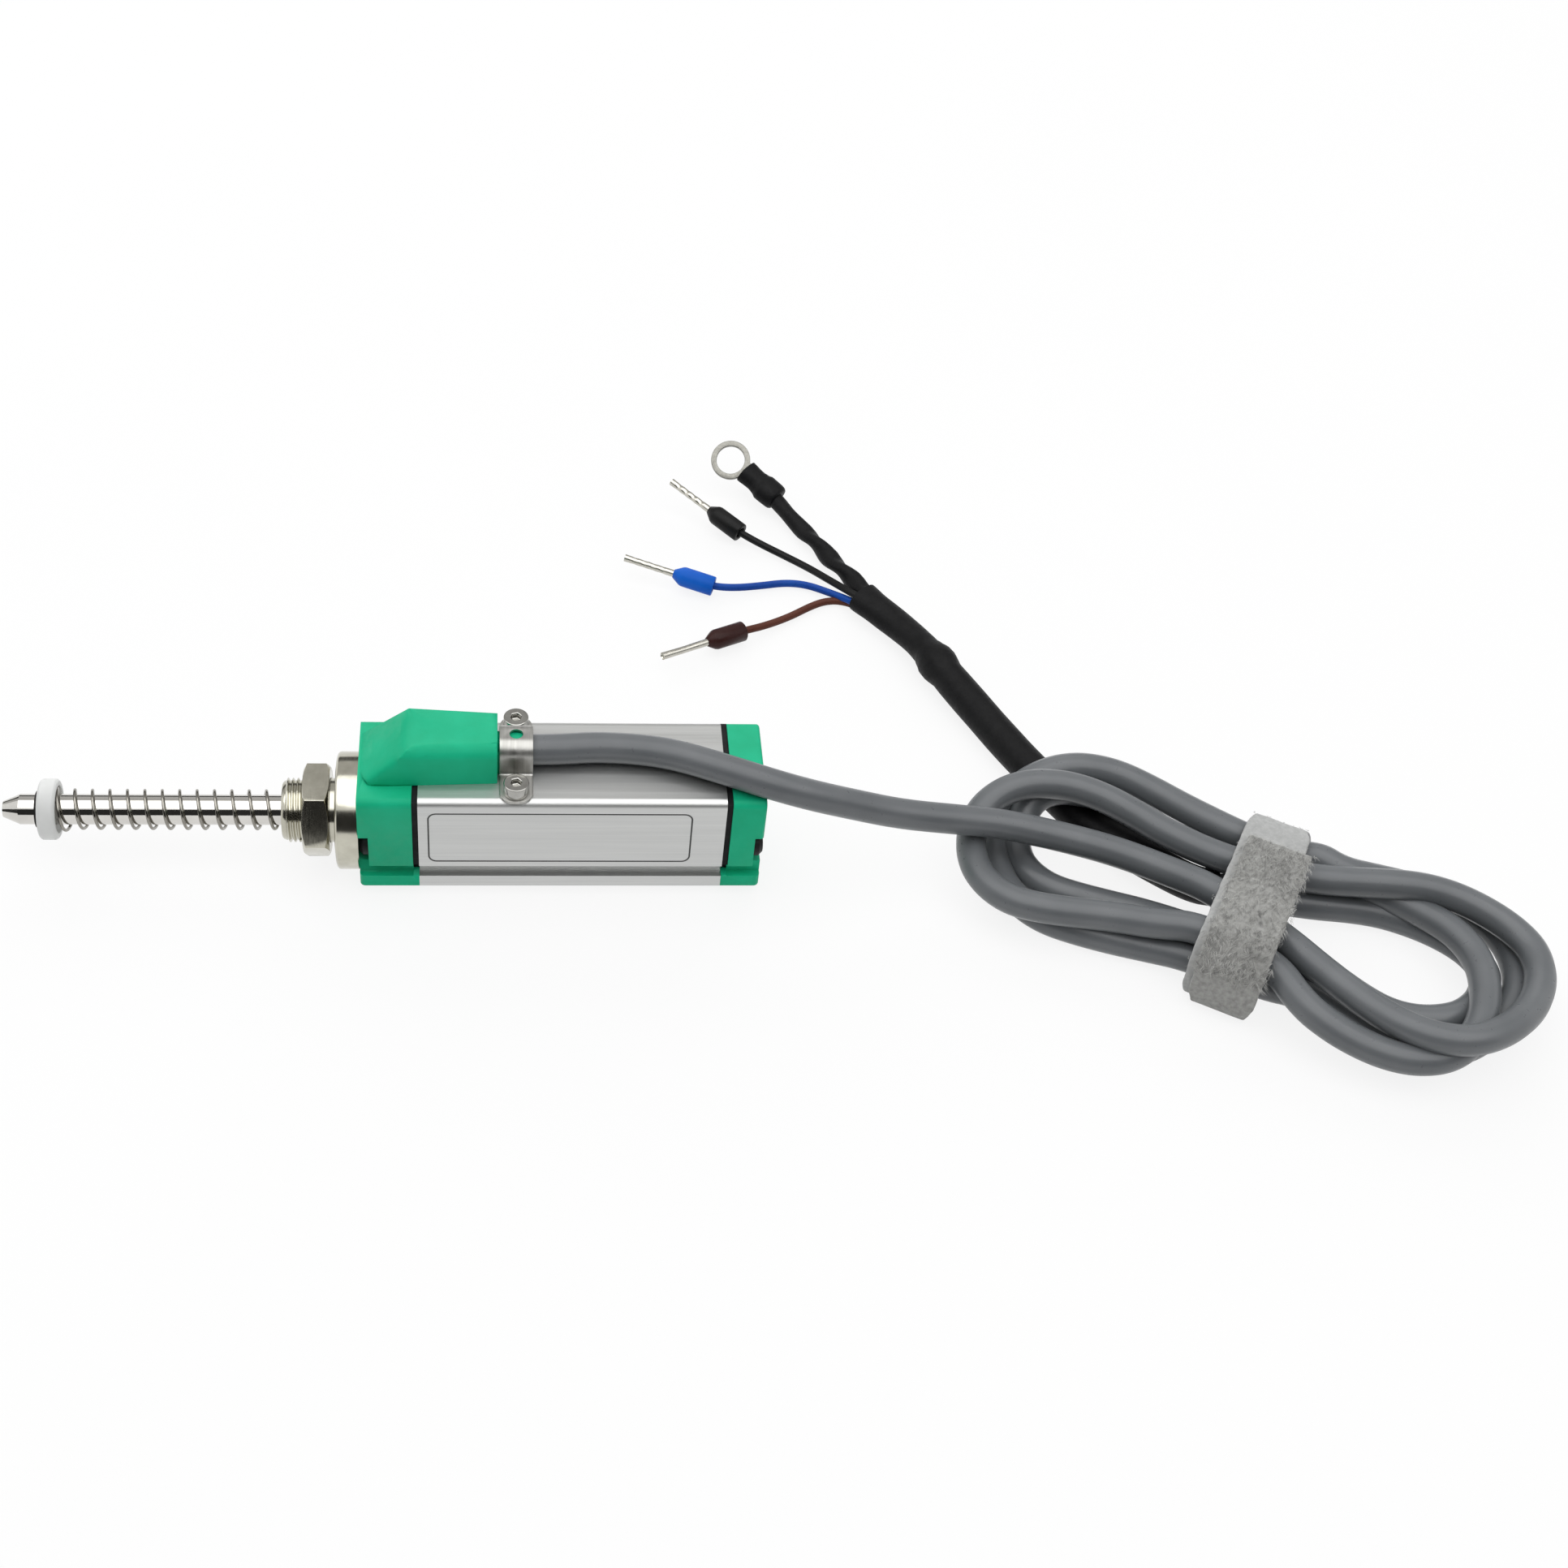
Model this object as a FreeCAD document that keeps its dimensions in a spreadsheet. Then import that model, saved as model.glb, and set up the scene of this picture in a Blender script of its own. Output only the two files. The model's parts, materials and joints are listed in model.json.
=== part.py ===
import FreeCAD, Part
import math
import os
import re

import Sketcher

# Self-resetting linear position sensor: a sprung measuring rod in a threaded bushing, an extruded
# body with two moulded caps, a potentiometer strip inside and a tied cable with crimped leads.
# Frame: +X along the rod into the body, +Z up, origin on the rod's axis at the flange's front face.

SIZES = {
    # extruded body
    "profile_width": 18.0,
    "profile_height": 18.0,
    "profile_length": 46.0,
    "profile_corner": 1.25,
    "axis_height": 7.2,
    "foot_height": 2.2,
    "slot_height": 2.2,
    "slot_depth": 1.3,
    "cavity_width": 10.8,
    "cavity_floor": 2.0,
    "cavity_roof": 2.2,
    # end caps and gaskets
    "front_cap_length": 8.1,
    "rear_cap_length": 5.1,
    "cap_edge": 0.5,
    "foot_round": 0.8,
    "gasket_thickness": 0.9,
    "gasket_inset": 0.35,
    "lip_rise": 0.2,
    "plug_length": 2.0,
    "plug_clearance": 0.1,
    "notch_rise": 3.0,
    "notch_reach": 2.05,
    "front_notch_depth": 1.5,
    "rear_notch_depth": 1.3,
    # cap screws
    "cap_screw_spread": 13.8,
    "cap_screw_rise": 0.3,
    "cap_screw_dia": 2.0,
    "cap_screw_grip": 6.0,
    "cap_head_dia": 3.9,
    "cap_head_height": 1.4,
    "cap_head_dome": 0.6,
    "hole_clearance": 0.15,
    "thread_clearance": 0.05,
    # cable hood, its tongue and the way for the wires
    "hood_overhang": 12.65,
    "hood_foot": 0.3,
    "hood_slope": 7.7,
    "hood_height": 6.6,
    "hood_back_height": 6.1,
    "hood_base_width": 11.2,
    "hood_back_base_width": 9.6,
    "hood_top_width": 10.2,
    "hood_back_top_width": 8.3,
    "hood_round": 2.0,
    "hood_far_round": 0.4,
    "tongue_length": 4.9,
    "tongue_wall": 0.3,
    "chamber_inset": 2.4,
    "chamber_width": 5.0,
    "chamber_rise": 1.2,
    "jacket_setback": 0.9,
    "wire_slot_height": 2.0,
    "wire_slot_drop": 0.15,
    # cable clip and its screws
    "clip_gap": 0.3,
    "clip_width": 5.0,
    "clip_thickness": 0.5,
    "clip_seat_clearance": 0.05,
    "clip_round": 2.0,
    "clip_bend": 0.4,
    "clip_end_round": 2.15,
    "clip_window_dia": 2.0,
    "clip_screw_spread": 14.0,
    "clip_screw_dia": 2.0,
    "clip_screw_grip": 4.0,
    "clip_head_dia": 3.8,
    "clip_head_height": 2.0,
    "clip_socket_across": 1.5,
    "clip_socket_depth": 1.0,
    # bushing, bearing, seal and nut
    "flange_dia": 18.0,
    "flange_thickness": 3.5,
    "flange_edge": 0.45,
    "thread_dia": 9.9,
    "thread_length": 8.25,
    "thread_chamfer": 0.55,
    "spigot_dia": 8.6,
    "spigot_length": 7.5,
    "passage_dia": 7.0,
    "mouth_clearance": 0.3,
    "mouth_length": 0.9,
    "seal_width": 1.5,
    "seal_wall": 1.3,
    "bearing_wall": 0.95,
    "bearing_length": 12.0,
    "running_clearance": 0.04,
    "seat_clearance": 0.01,
    "nut_across": 13.0,
    "nut_thickness": 4.0,
    "nut_gap": 1.05,
    "nut_chamfer": 0.55,
    "nut_turn": 3.4,
    # measuring rod, ring, collar and spring
    "rod_dia": 4.65,
    "rod_reach": 50.1,
    "tip_dia": 2.5,
    "tip_cone": 2.5,
    "ring_setback": 4.95,
    "ring_thickness": 0.6,
    "ring_dia": 5.6,
    "ring_groove_dia": 3.9,
    "collar_dia": 9.3,
    "collar_length": 2.7,
    "collar_edge": 0.35,
    "collar_recess_dia": 7.2,
    "collar_recess_depth": 0.9,
    "spring_wire_dia": 0.5,
    "spring_coil_dia": 5.9,
    "spring_turns": 13.0,
    "spring_gap": 0.05,
    # wiper carriage
    "stop_gap": 0.3,
    "carriage_length": 12.0,
    "carriage_side_gap": 0.4,
    "carriage_drop": 4.6,
    "carriage_rise": 4.4,
    "rod_seat": 6.0,
    "carriage_screw_dia": 2.5,
    "carriage_screw_grip": 4.0,
    "carriage_head_dia": 4.5,
    "carriage_head_height": 1.6,
    "wiper_thickness": 0.2,
    "wiper_width": 1.6,
    "wiper_tab": 3.0,
    "wiper_reach": 5.0,
    "wiper_setback": 2.5,
    "contact_gap": 0.05,
    # potentiometer strip and its wires
    "strip_side_gap": 0.4,
    "strip_thickness": 1.0,
    "strip_gap": 0.5,
    "track_width": 2.4,
    "track_thickness": 0.1,
    "track_spread": 5.0,
    "track_margin": 1.5,
    "wire_dia": 1.0,
    "wire_spread": 1.4,
    "wire_tail": 1.2,
    # cable, hank, strap and leads
    "cable_dia": 4.7,
    "channel_clearance": 0.1,
    "cable_gap": 0.05,
    "sleeve_dia": 5.9,
    "hank_waist": 34.0,
    "hank_height": 10.7,
    "hank_shoulder": 1.0,
    "strap_width": 10.0,
    "strap_thickness": 1.3,
    "strap_edge": 2.5,
    "shield_dia": 3.2,
    "lead_dia": 1.3,
    "ferrule_collar_dia": 2.9,
    "ferrule_collar_length": 5.3,
    "ferrule_cone": 1.4,
    "ferrule_pin_dia": 1.3,
    "ferrule_pin_length": 9.8,
    "terminal_ring_dia": 7.2,
    "terminal_hole_dia": 5.2,
    "terminal_thickness": 0.8,
    "terminal_tongue": 4.6,
    "terminal_tongue_width": 3.4,
    "terminal_barrel_dia": 2.6,
    "terminal_barrel_length": 5.5,
    "terminal_sleeve_dia": 4.4,
    "terminal_sleeve_length": 7.0,
    # how far a cut runs past the stock that it trims
    "cut_margin": 1.0,
}

TOUCH = 1e-4
ALIGNED = 0.999
ARC_SHARE = 0.45

doc = FreeCAD.newDocument("position_sensor")
sheet = doc.addObject("Spreadsheet::Sheet", "Sizes")
for row, (alias, size) in enumerate(SIZES.items(), start=1):
    sheet.set(f"A{row}", alias)
    sheet.set(f"B{row}", str(size))
    sheet.setAlias(f"B{row}", alias)
doc.recompute()


def sized(text):
    """The expression with each size's name pointing at its cell of the sheet."""
    return re.sub(r"[a-z_]+", lambda m: f"Sizes.{m[0]}" if m[0] in SIZES else m[0], text)


def num(text):
    """The value of an expression in millimetres or degrees."""
    return float(sheet.evalExpression(sized(text)))


# Places along and across the sensor, all from the driving sizes.
HALF = "profile_width / 2"
BASE = "-axis_height"
TOP = "(profile_height - axis_height)"
SLOT_LOW = "(foot_height - axis_height)"
SLOT_HIGH = "(foot_height + slot_height - axis_height)"
SLOT_IN = "(profile_width / 2 - slot_depth)"
LIP_TOP = f"({SLOT_LOW} + lip_rise)"
CAVITY_LOW = "(cavity_floor - axis_height)"
CAVITY_HIGH = f"({TOP} - cavity_roof)"
CAP_BACK = "(flange_thickness + front_cap_length)"
BODY_FRONT = f"({CAP_BACK} + gasket_thickness)"
BODY_BACK = f"({BODY_FRONT} + profile_length)"
REAR_FRONT = f"({BODY_BACK} + gasket_thickness)"
REAR_BACK = f"({REAR_FRONT} + rear_cap_length)"
PLUG_END = f"({BODY_FRONT} + plug_length)"
REAR_PLUG_END = f"({BODY_BACK} - plug_length)"
NOTCH_TOP = "(cap_screw_rise + notch_rise)"
NOTCH_IN = "(cap_screw_spread / 2 - notch_reach)"
HOOD_FRONT = "(flange_thickness + hood_foot)"
HOOD_BACK = f"({CAP_BACK} + hood_overhang)"
CABLE_Z = f"({TOP} + cable_dia / 2 + cable_gap)"
CHANNEL = "(cable_dia + 2 * channel_clearance)"
JACKET_END = f"({CAP_BACK} + jacket_setback)"
CLIP_FRONT = f"({HOOD_BACK} + clip_gap)"
CLIP_MID = f"({CLIP_FRONT} + clip_width / 2)"
CLIP_IN = f"({CHANNEL} / 2 + tongue_wall + clip_seat_clearance)"
CLIP_HIGH = f"({CABLE_Z} + {CLIP_IN})"
CLIP_END = "(clip_screw_spread / 2 + clip_end_round)"
STRIP_FRONT = f"({PLUG_END} + strip_gap)"
STRIP_LENGTH = f"({REAR_PLUG_END} - strip_gap - {STRIP_FRONT})"
STRIP_LOW = f"({CAVITY_HIGH} - strip_thickness)"
TRACK_LOW = f"({STRIP_LOW} - track_thickness)"
WIRE_Z = f"({STRIP_LOW} - wire_dia / 2 - cable_gap)"
WIRE_SLOT_LOW = f"({WIRE_Z} - wire_dia / 2 - wire_slot_drop)"
CHAMBER_FRONT = f"({CAP_BACK} - chamber_inset)"
RING_FRONT = "(ring_setback - rod_reach)"
RING_BACK = f"({RING_FRONT} + ring_thickness)"
COLLAR_BACK = f"({RING_BACK} + collar_length)"
CARRIAGE_FRONT = f"({PLUG_END} + stop_gap)"
CARRIAGE_BACK = f"({CARRIAGE_FRONT} + carriage_length)"
ROD_END = f"({CARRIAGE_FRONT} + rod_seat)"
MOUTH_END = "(mouth_length - thread_length)"
SEAL_END = f"({MOUTH_END} + seal_width)"
BEARING_DIA = "(rod_dia + 2 * running_clearance + 2 * bearing_wall)"


def new_body(label):
    body = doc.addObject("PartDesign::Body", label)
    body.Label = label
    return body


def new_sketch(body, plane, away="0"):
    """A sketch on one of the body's origin planes, lifted along the plane's normal."""
    sketch = body.newObject("Sketcher::SketchObject", f"{body.Label}_sketch")
    support = next(f for f in body.Origin.OriginFeatures if f.Role == plane)
    sketch.AttachmentSupport = [(support, "")]
    sketch.MapMode = "FlatFace"
    sketch.setExpression("AttachmentOffset.Base.z", sized(away))
    return sketch


def dimension(sketch, kind, geometry, point, text):
    """Dimension of a point from the sketch's origin, bound to the sheet."""
    if text == "0":
        axis = -2 if kind == "DistanceX" else -1
        sketch.addConstraint(Sketcher.Constraint("PointOnObject", geometry, point, axis))
        return
    index = sketch.addConstraint(Sketcher.Constraint(kind, -1, 1, geometry, point, num(text)))
    sketch.renameConstraint(index, f"{kind}_{index}")
    sketch.setExpression(f"Constraints.{kind}_{index}", sized(text))


def outline(sketch, points):
    """A closed outline of straight lines with every corner dimensioned."""
    corners = [FreeCAD.Vector(num(x), num(y), 0) for x, y in points]
    first = sketch.GeometryCount
    count = len(points)
    for k in range(count):
        sketch.addGeometry(Part.LineSegment(corners[k], corners[(k + 1) % count]), False)
    for k, (x, y) in enumerate(points):
        after = first + (k + 1) % count
        sketch.addConstraint(Sketcher.Constraint("Coincident", first + k, 2, after, 1))
        dimension(sketch, "DistanceX", first + k, 1, x)
        dimension(sketch, "DistanceY", first + k, 1, y)
    return sketch


def rectangle(sketch, x_low, x_high, y_low, y_high):
    return outline(sketch, [(x_low, y_low), (x_high, y_low), (x_high, y_high), (x_low, y_high)])


def circle(sketch, x, y, dia):
    centre = FreeCAD.Vector(num(x), num(y), 0)
    ring = Part.Circle(centre, FreeCAD.Vector(0, 0, 1), num(dia) / 2)
    geometry = sketch.addGeometry(ring, False)
    dimension(sketch, "DistanceX", geometry, 3, x)
    dimension(sketch, "DistanceY", geometry, 3, y)
    index = sketch.addConstraint(Sketcher.Constraint("Diameter", geometry, num(dia)))
    sketch.renameConstraint(index, f"Diameter_{index}")
    sketch.setExpression(f"Constraints.Diameter_{index}", sized(dia))
    return sketch


def arch(sketch, width, low, spring):
    """An outline with a flat foot, upright sides and a half-round top that springs from a height."""
    half, foot, height = num(width) / 2, num(low), num(spring)
    rim = ((-half, height), (-half, foot), (half, foot), (half, height))
    corners = [FreeCAD.Vector(x, y, 0) for x, y in rim]
    for start, end in zip(corners, corners[1:]):
        sketch.addGeometry(Part.LineSegment(start, end), False)
    crown = Part.Circle(FreeCAD.Vector(0, height, 0), FreeCAD.Vector(0, 0, 1), half)
    sketch.addGeometry(Part.ArcOfCircle(crown, 0, math.pi), False)
    for k in range(4):
        sketch.addConstraint(Sketcher.Constraint("Coincident", k, 2, (k + 1) % 4, 1))
    left, right = f"-{width} / 2", f"{width} / 2"
    for k, (x, y) in enumerate([(left, spring), (left, low), (right, low), (right, spring)]):
        dimension(sketch, "DistanceX", k, 1, x)
        dimension(sketch, "DistanceY", k, 1, y)
    dimension(sketch, "DistanceY", 3, 3, spring)
    return sketch


def pad(body, sketch, length, backwards=False):
    feature = body.newObject("PartDesign::Pad", f"{body.Label}_pad")
    feature.Profile = sketch
    feature.setExpression("Length", sized(length))
    feature.Reversed = backwards
    doc.recompute()
    return feature


def pocket(body, sketch, depth, forwards=False):
    """A pocket against the sketch's normal, or along it when forwards; it has to remove something."""
    before = body.Shape.Volume
    feature = body.newObject("PartDesign::Pocket", f"{body.Label}_pocket")
    feature.Profile = sketch
    feature.setExpression("Length", sized(depth))
    feature.Reversed = forwards
    doc.recompute()
    if body.Shape.Volume >= before:
        raise RuntimeError(f"a pocket of {body.Label} removes nothing")
    return feature


def turned(body, points):
    """A full revolution about the X axis of an outline given as (x, radius)."""
    sketch = outline(new_sketch(body, "XY_Plane"), points)
    feature = body.newObject("PartDesign::Revolution", f"{body.Label}_revolution")
    feature.Profile = sketch
    feature.ReferenceAxis = (sketch, ["H_Axis"])
    feature.Angle = 360
    doc.recompute()
    return feature


def grooved(body, points):
    before = body.Shape.Volume
    sketch = outline(new_sketch(body, "XY_Plane"), points)
    feature = body.newObject("PartDesign::Groove", f"{body.Label}_groove")
    feature.Profile = sketch
    feature.ReferenceAxis = (sketch, ["H_Axis"])
    feature.Angle = 360
    doc.recompute()
    if body.Shape.Volume >= before:
        raise RuntimeError(f"a groove of {body.Label} removes nothing")
    return feature


def rounded(body, radius, along, wanted):
    """A fillet on the edges along one axis whose two end points both answer to wanted(x, y, z)."""
    names = []
    direction = FreeCAD.Vector(*[int(axis == along) for axis in "xyz"])
    for index, edge in enumerate(body.Tip.Shape.Edges, start=1):
        if len(edge.Vertexes) != 2 or not all(wanted(*v.Point) for v in edge.Vertexes):
            continue
        run = edge.Vertexes[1].Point - edge.Vertexes[0].Point
        if abs(run.dot(direction)) > ALIGNED * run.Length:
            names.append(f"Edge{index}")
    if not names:
        raise RuntimeError(f"no edge of {body.Label} to round")
    feature = body.newObject("PartDesign::Fillet", f"{body.Label}_fillet")
    feature.Base = (body.Tip if body.Tip != feature else feature.BaseFeature, names)
    feature.setExpression("Radius", sized(radius))
    doc.recompute()
    return feature


def near(value, text):
    return abs(value - num(text)) < TOUCH


def group(label, members):
    """Identical pieces kept in one named node as separate solids."""
    compound = doc.addObject("Part::Compound", label)
    compound.Label = label
    compound.Links = members
    return compound


def place(item, x, y, z):
    for axis, text in zip("xyz", (x, y, z)):
        item.setExpression(f"Placement.Base.{axis}", sized(text))
    return item


def section(inset="0"):
    """The body's cross-section (y, z), with its two clamp slots, drawn in by an inset."""
    wide = f"({HALF} - {inset})"
    deep = f"({SLOT_IN} - {inset})"
    high = f"({TOP} - {inset})"
    right = [
        (wide, BASE),
        (wide, SLOT_LOW),
        (deep, SLOT_LOW),
        (deep, SLOT_HIGH),
        (wide, SLOT_HIGH),
        (wide, high),
    ]
    left = [(f"-{y}", z) for y, z in reversed(right)]
    return right + left


def plug_section(clearance):
    wide = f"(cavity_width / 2 - {clearance})"
    return f"-{wide}", wide, f"({CAVITY_LOW} + {clearance})", f"({CAVITY_HIGH} - {clearance})"


def screw_pair(sketch, dia):
    for side in ("-", ""):
        circle(sketch, f"{side}cap_screw_spread / 2", "cap_screw_rise", dia)
    return sketch


def make_profile_housing():
    body = new_body("profile_housing")
    pad(body, outline(new_sketch(body, "YZ_Plane", BODY_FRONT), section()), "profile_length")
    rounded(body, "profile_corner", "x", lambda x, y, z: near(abs(y), HALF) and near(z, TOP))
    cavity = rectangle(new_sketch(body, "YZ_Plane", BODY_FRONT), *plug_section("0"))
    pocket(body, cavity, "profile_length", forwards=True)
    ports = screw_pair(new_sketch(body, "YZ_Plane", BODY_FRONT), "cap_screw_dia + 2 * thread_clearance")
    pocket(body, ports, "profile_length", forwards=True)
    holes = new_sketch(body, "XY_Plane", TOP)
    for side in ("-", ""):
        circle(holes, CLIP_MID, f"{side}clip_screw_spread / 2", "clip_screw_dia + 2 * thread_clearance")
    pocket(body, holes, "clip_screw_grip + 2 * thread_clearance")
    return body


def cap_block(label, front, length, lip_start, plug_start):
    """The block common to both caps: section, rounded top edges, bottom lip and locating plug."""
    body = new_body(label)
    pad(body, outline(new_sketch(body, "YZ_Plane", front), section()), length)
    rounded(body, "profile_corner", "x", lambda x, y, z: near(abs(y), HALF) and near(z, TOP))
    lip = rectangle(new_sketch(body, "YZ_Plane", lip_start), f"-{HALF}", HALF, BASE, LIP_TOP)
    pad(body, lip, "gasket_thickness")
    plug = rectangle(new_sketch(body, "YZ_Plane", plug_start), *plug_section("plug_clearance"))
    pad(body, plug, "gasket_thickness + plug_length")
    return body


def cut_screw_seats(body, face, front, length, depth, inwards):
    """Clearance holes through a cap and the side notches that take the screw heads."""
    holes = screw_pair(new_sketch(body, "YZ_Plane", front), "cap_screw_dia + 2 * hole_clearance")
    pocket(body, holes, length, forwards=True)
    notches = new_sketch(body, "YZ_Plane", face)
    rectangle(notches, NOTCH_IN, HALF, SLOT_HIGH, NOTCH_TOP)
    rectangle(notches, f"-{HALF}", f"-{NOTCH_IN}", SLOT_HIGH, NOTCH_TOP)
    pocket(body, notches, depth, forwards=inwards)


def hood_section(sketch, base, top, height):
    high = f"({TOP} + {height})"
    points = [(f"-{base} / 2", TOP), (f"{base} / 2", TOP), (f"{top} / 2", high), (f"-{top} / 2", high)]
    return outline(sketch, points)


def round_ridge(body, radius, side):
    """A fillet on one of the two long upper edges of the hood, towards -Y or +Y."""
    ridge = num(f"{TOP} + hood_back_height / 2")
    ends = [num(HOOD_FRONT), num(HOOD_BACK)]
    names = []
    for index, edge in enumerate(body.Tip.Shape.Edges, start=1):
        points = sorted((v.Point for v in edge.Vertexes), key=lambda point: point.x)
        spans = len(points) == 2 and all(abs(p.x - end) < TOUCH for p, end in zip(points, ends))
        if spans and all(p.z > ridge and p.y * side > 0 for p in points):
            names.append(f"Edge{index}")
    before = body.Tip
    feature = body.newObject("PartDesign::Fillet", "front_cap_ridge")
    feature.Base = (before, names[:1])
    feature.setExpression("Radius", sized(radius))
    doc.recompute()


def round_foot(body, face):
    """The upright corners of a cap's foot at its outer face."""
    foot = num(SLOT_LOW) + TOUCH
    rounded(body, "foot_round", "z", lambda x, y, z: near(x, face) and near(abs(y), HALF) and z < foot)


def make_front_cap():
    body = cap_block("front_cap", "flange_thickness", "front_cap_length", CAP_BACK, CAP_BACK)
    near_end = hood_section(
        new_sketch(body, "YZ_Plane", HOOD_FRONT), "hood_base_width", "hood_top_width", "hood_height"
    )
    far_end = hood_section(
        new_sketch(body, "YZ_Plane", HOOD_BACK),
        "hood_back_base_width",
        "hood_back_top_width",
        "hood_back_height",
    )
    hood = body.newObject("PartDesign::AdditiveLoft", "front_cap_hood")
    hood.Profile = near_end
    hood.Sections = [far_end]
    hood.Ruled = True
    doc.recompute()
    round_ridge(body, "hood_round", -1)
    round_ridge(body, "hood_far_round", 1)
    over = "(cable_dia + 2 * channel_clearance + 2 * tongue_wall)"
    pad(body, arch(new_sketch(body, "YZ_Plane", HOOD_BACK), over, TOP, CABLE_Z), "tongue_length")
    beyond = "(1 + cut_margin / hood_height)"
    over_hood = f"({TOP} + hood_height + cut_margin)"
    slope = outline(
        new_sketch(body, "XZ_Plane", f"-{HALF}"),
        [
            (HOOD_FRONT, TOP),
            (f"({HOOD_FRONT} + hood_slope * {beyond})", over_hood),
            (f"({HOOD_FRONT} - cut_margin)", over_hood),
            (f"({HOOD_FRONT} - cut_margin)", TOP),
        ],
    )
    pocket(body, slope, "profile_width", forwards=True)
    spigot_hole = "spigot_dia + 2 * seat_clearance"
    bore = circle(new_sketch(body, "YZ_Plane", "flange_thickness"), "0", "0", spigot_hole)
    pocket(body, bore, "spigot_length + seat_clearance", forwards=True)
    passage = circle(new_sketch(body, "YZ_Plane", "flange_thickness"), "0", "0", "passage_dia")
    pocket(body, passage, f"{PLUG_END} - flange_thickness", forwards=True)
    face = "flange_thickness"
    cut_screw_seats(body, face, face, "front_cap_length", "front_notch_depth", True)
    channel = f"{HOOD_BACK} + tongue_length - {JACKET_END}"
    cable_way = arch(new_sketch(body, "YZ_Plane", JACKET_END), CHANNEL, TOP, CABLE_Z)
    pocket(body, cable_way, channel, forwards=True)
    chamber_top = f"({CABLE_Z} + chamber_rise)"
    chamber = rectangle(
        new_sketch(body, "XY_Plane", chamber_top),
        CHAMBER_FRONT,
        JACKET_END,
        "-chamber_width / 2",
        "chamber_width / 2",
    )
    pocket(body, chamber, f"{chamber_top} - {WIRE_SLOT_LOW}")
    wire_slot = rectangle(
        new_sketch(body, "YZ_Plane", CHAMBER_FRONT),
        "-chamber_width / 2",
        "chamber_width / 2",
        WIRE_SLOT_LOW,
        f"({WIRE_SLOT_LOW} + wire_slot_height)",
    )
    pocket(body, wire_slot, f"{PLUG_END} - {CHAMBER_FRONT}", forwards=True)
    round_foot(body, face)
    return body


def make_rear_cap():
    body = cap_block("rear_cap", REAR_FRONT, "rear_cap_length", BODY_BACK, REAR_PLUG_END)
    cut_screw_seats(body, REAR_BACK, REAR_FRONT, "rear_cap_length", "rear_notch_depth", False)
    wall = num(NOTCH_TOP) - TOUCH
    rounded(body, "cap_edge", "z", lambda x, y, z: near(x, REAR_BACK) and near(abs(y), HALF) and z > wall)
    round_foot(body, REAR_BACK)
    return body


def make_gasket(label, start):
    body = new_body(label)
    pad(body, outline(new_sketch(body, "YZ_Plane", start), section("gasket_inset")), "gasket_thickness")
    lip = rectangle(new_sketch(body, "YZ_Plane", start), f"-{HALF}", HALF, BASE, LIP_TOP)
    pocket(body, lip, "gasket_thickness", forwards=True)
    window = rectangle(new_sketch(body, "YZ_Plane", start), *plug_section("0"))
    pocket(body, window, "gasket_thickness", forwards=True)
    holes = screw_pair(new_sketch(body, "YZ_Plane", start), "cap_screw_dia + 2 * hole_clearance")
    pocket(body, holes, "gasket_thickness", forwards=True)
    return body


def make_cap_screw(label, seat, reach, side, turn):
    """A pan-head screw whose head bears on its seat at x = 0 of its own frame, shank towards +X."""
    body = new_body(label)
    head = "cap_head_dia / 2"
    crown = "(cap_head_dia / 2 - cap_head_dome)"
    shank = "cap_screw_dia / 2"
    turned(
        body,
        [
            ("-cap_head_height", "0"),
            ("-cap_head_height", crown),
            ("(cap_head_dome - cap_head_height)", head),
            ("0", head),
            ("0", shank),
            (reach, shank),
            (reach, "0"),
        ],
    )
    body.Placement.Rotation = FreeCAD.Rotation(FreeCAD.Vector(0, 0, 1), turn)
    return place(body, seat, f"{side}cap_screw_spread / 2", "cap_screw_rise")


def make_cap_screws():
    front_seat = "(flange_thickness + front_notch_depth)"
    front_reach = f"({BODY_FRONT} + cap_screw_grip - {front_seat})"
    rear_seat = f"({REAR_BACK} - rear_notch_depth)"
    rear_reach = f"({rear_seat} - {BODY_BACK} + cap_screw_grip)"
    rows = [("front", front_seat, front_reach, 0), ("rear", rear_seat, rear_reach, 180)]
    for end, seat, reach, turn in rows:
        pair = [
            make_cap_screw(f"{end}_cap_screw_{k}", seat, reach, side, turn)
            for k, side in enumerate(("-", ""), start=1)
        ]
        group(f"{end}_cap_screws", pair)


def make_threaded_bushing():
    body = new_body("threaded_bushing")
    thread = "thread_dia / 2"
    mouth = "(rod_dia / 2 + mouth_clearance)"
    seal = "(rod_dia / 2 + seal_wall)"
    bore = f"({BEARING_DIA} / 2 + seat_clearance)"
    spigot_end = "(flange_thickness + spigot_length)"
    turned(
        body,
        [
            ("-thread_length", mouth),
            ("-thread_length", f"({thread} - thread_chamfer)"),
            ("(thread_chamfer - thread_length)", thread),
            ("0", thread),
            ("0", "(flange_dia / 2 - flange_edge)"),
            ("flange_edge", "flange_dia / 2"),
            ("flange_thickness", "flange_dia / 2"),
            ("flange_thickness", "spigot_dia / 2"),
            (spigot_end, "spigot_dia / 2"),
            (spigot_end, bore),
            (SEAL_END, bore),
            (SEAL_END, seal),
            (MOUTH_END, seal),
            (MOUTH_END, mouth),
        ],
    )
    return body


def make_ring(label, start, end, inner, outer):
    """A plain turned ring."""
    body = new_body(label)
    turned(body, [(start, inner), (end, inner), (end, outer), (start, outer)])
    return body


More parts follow.
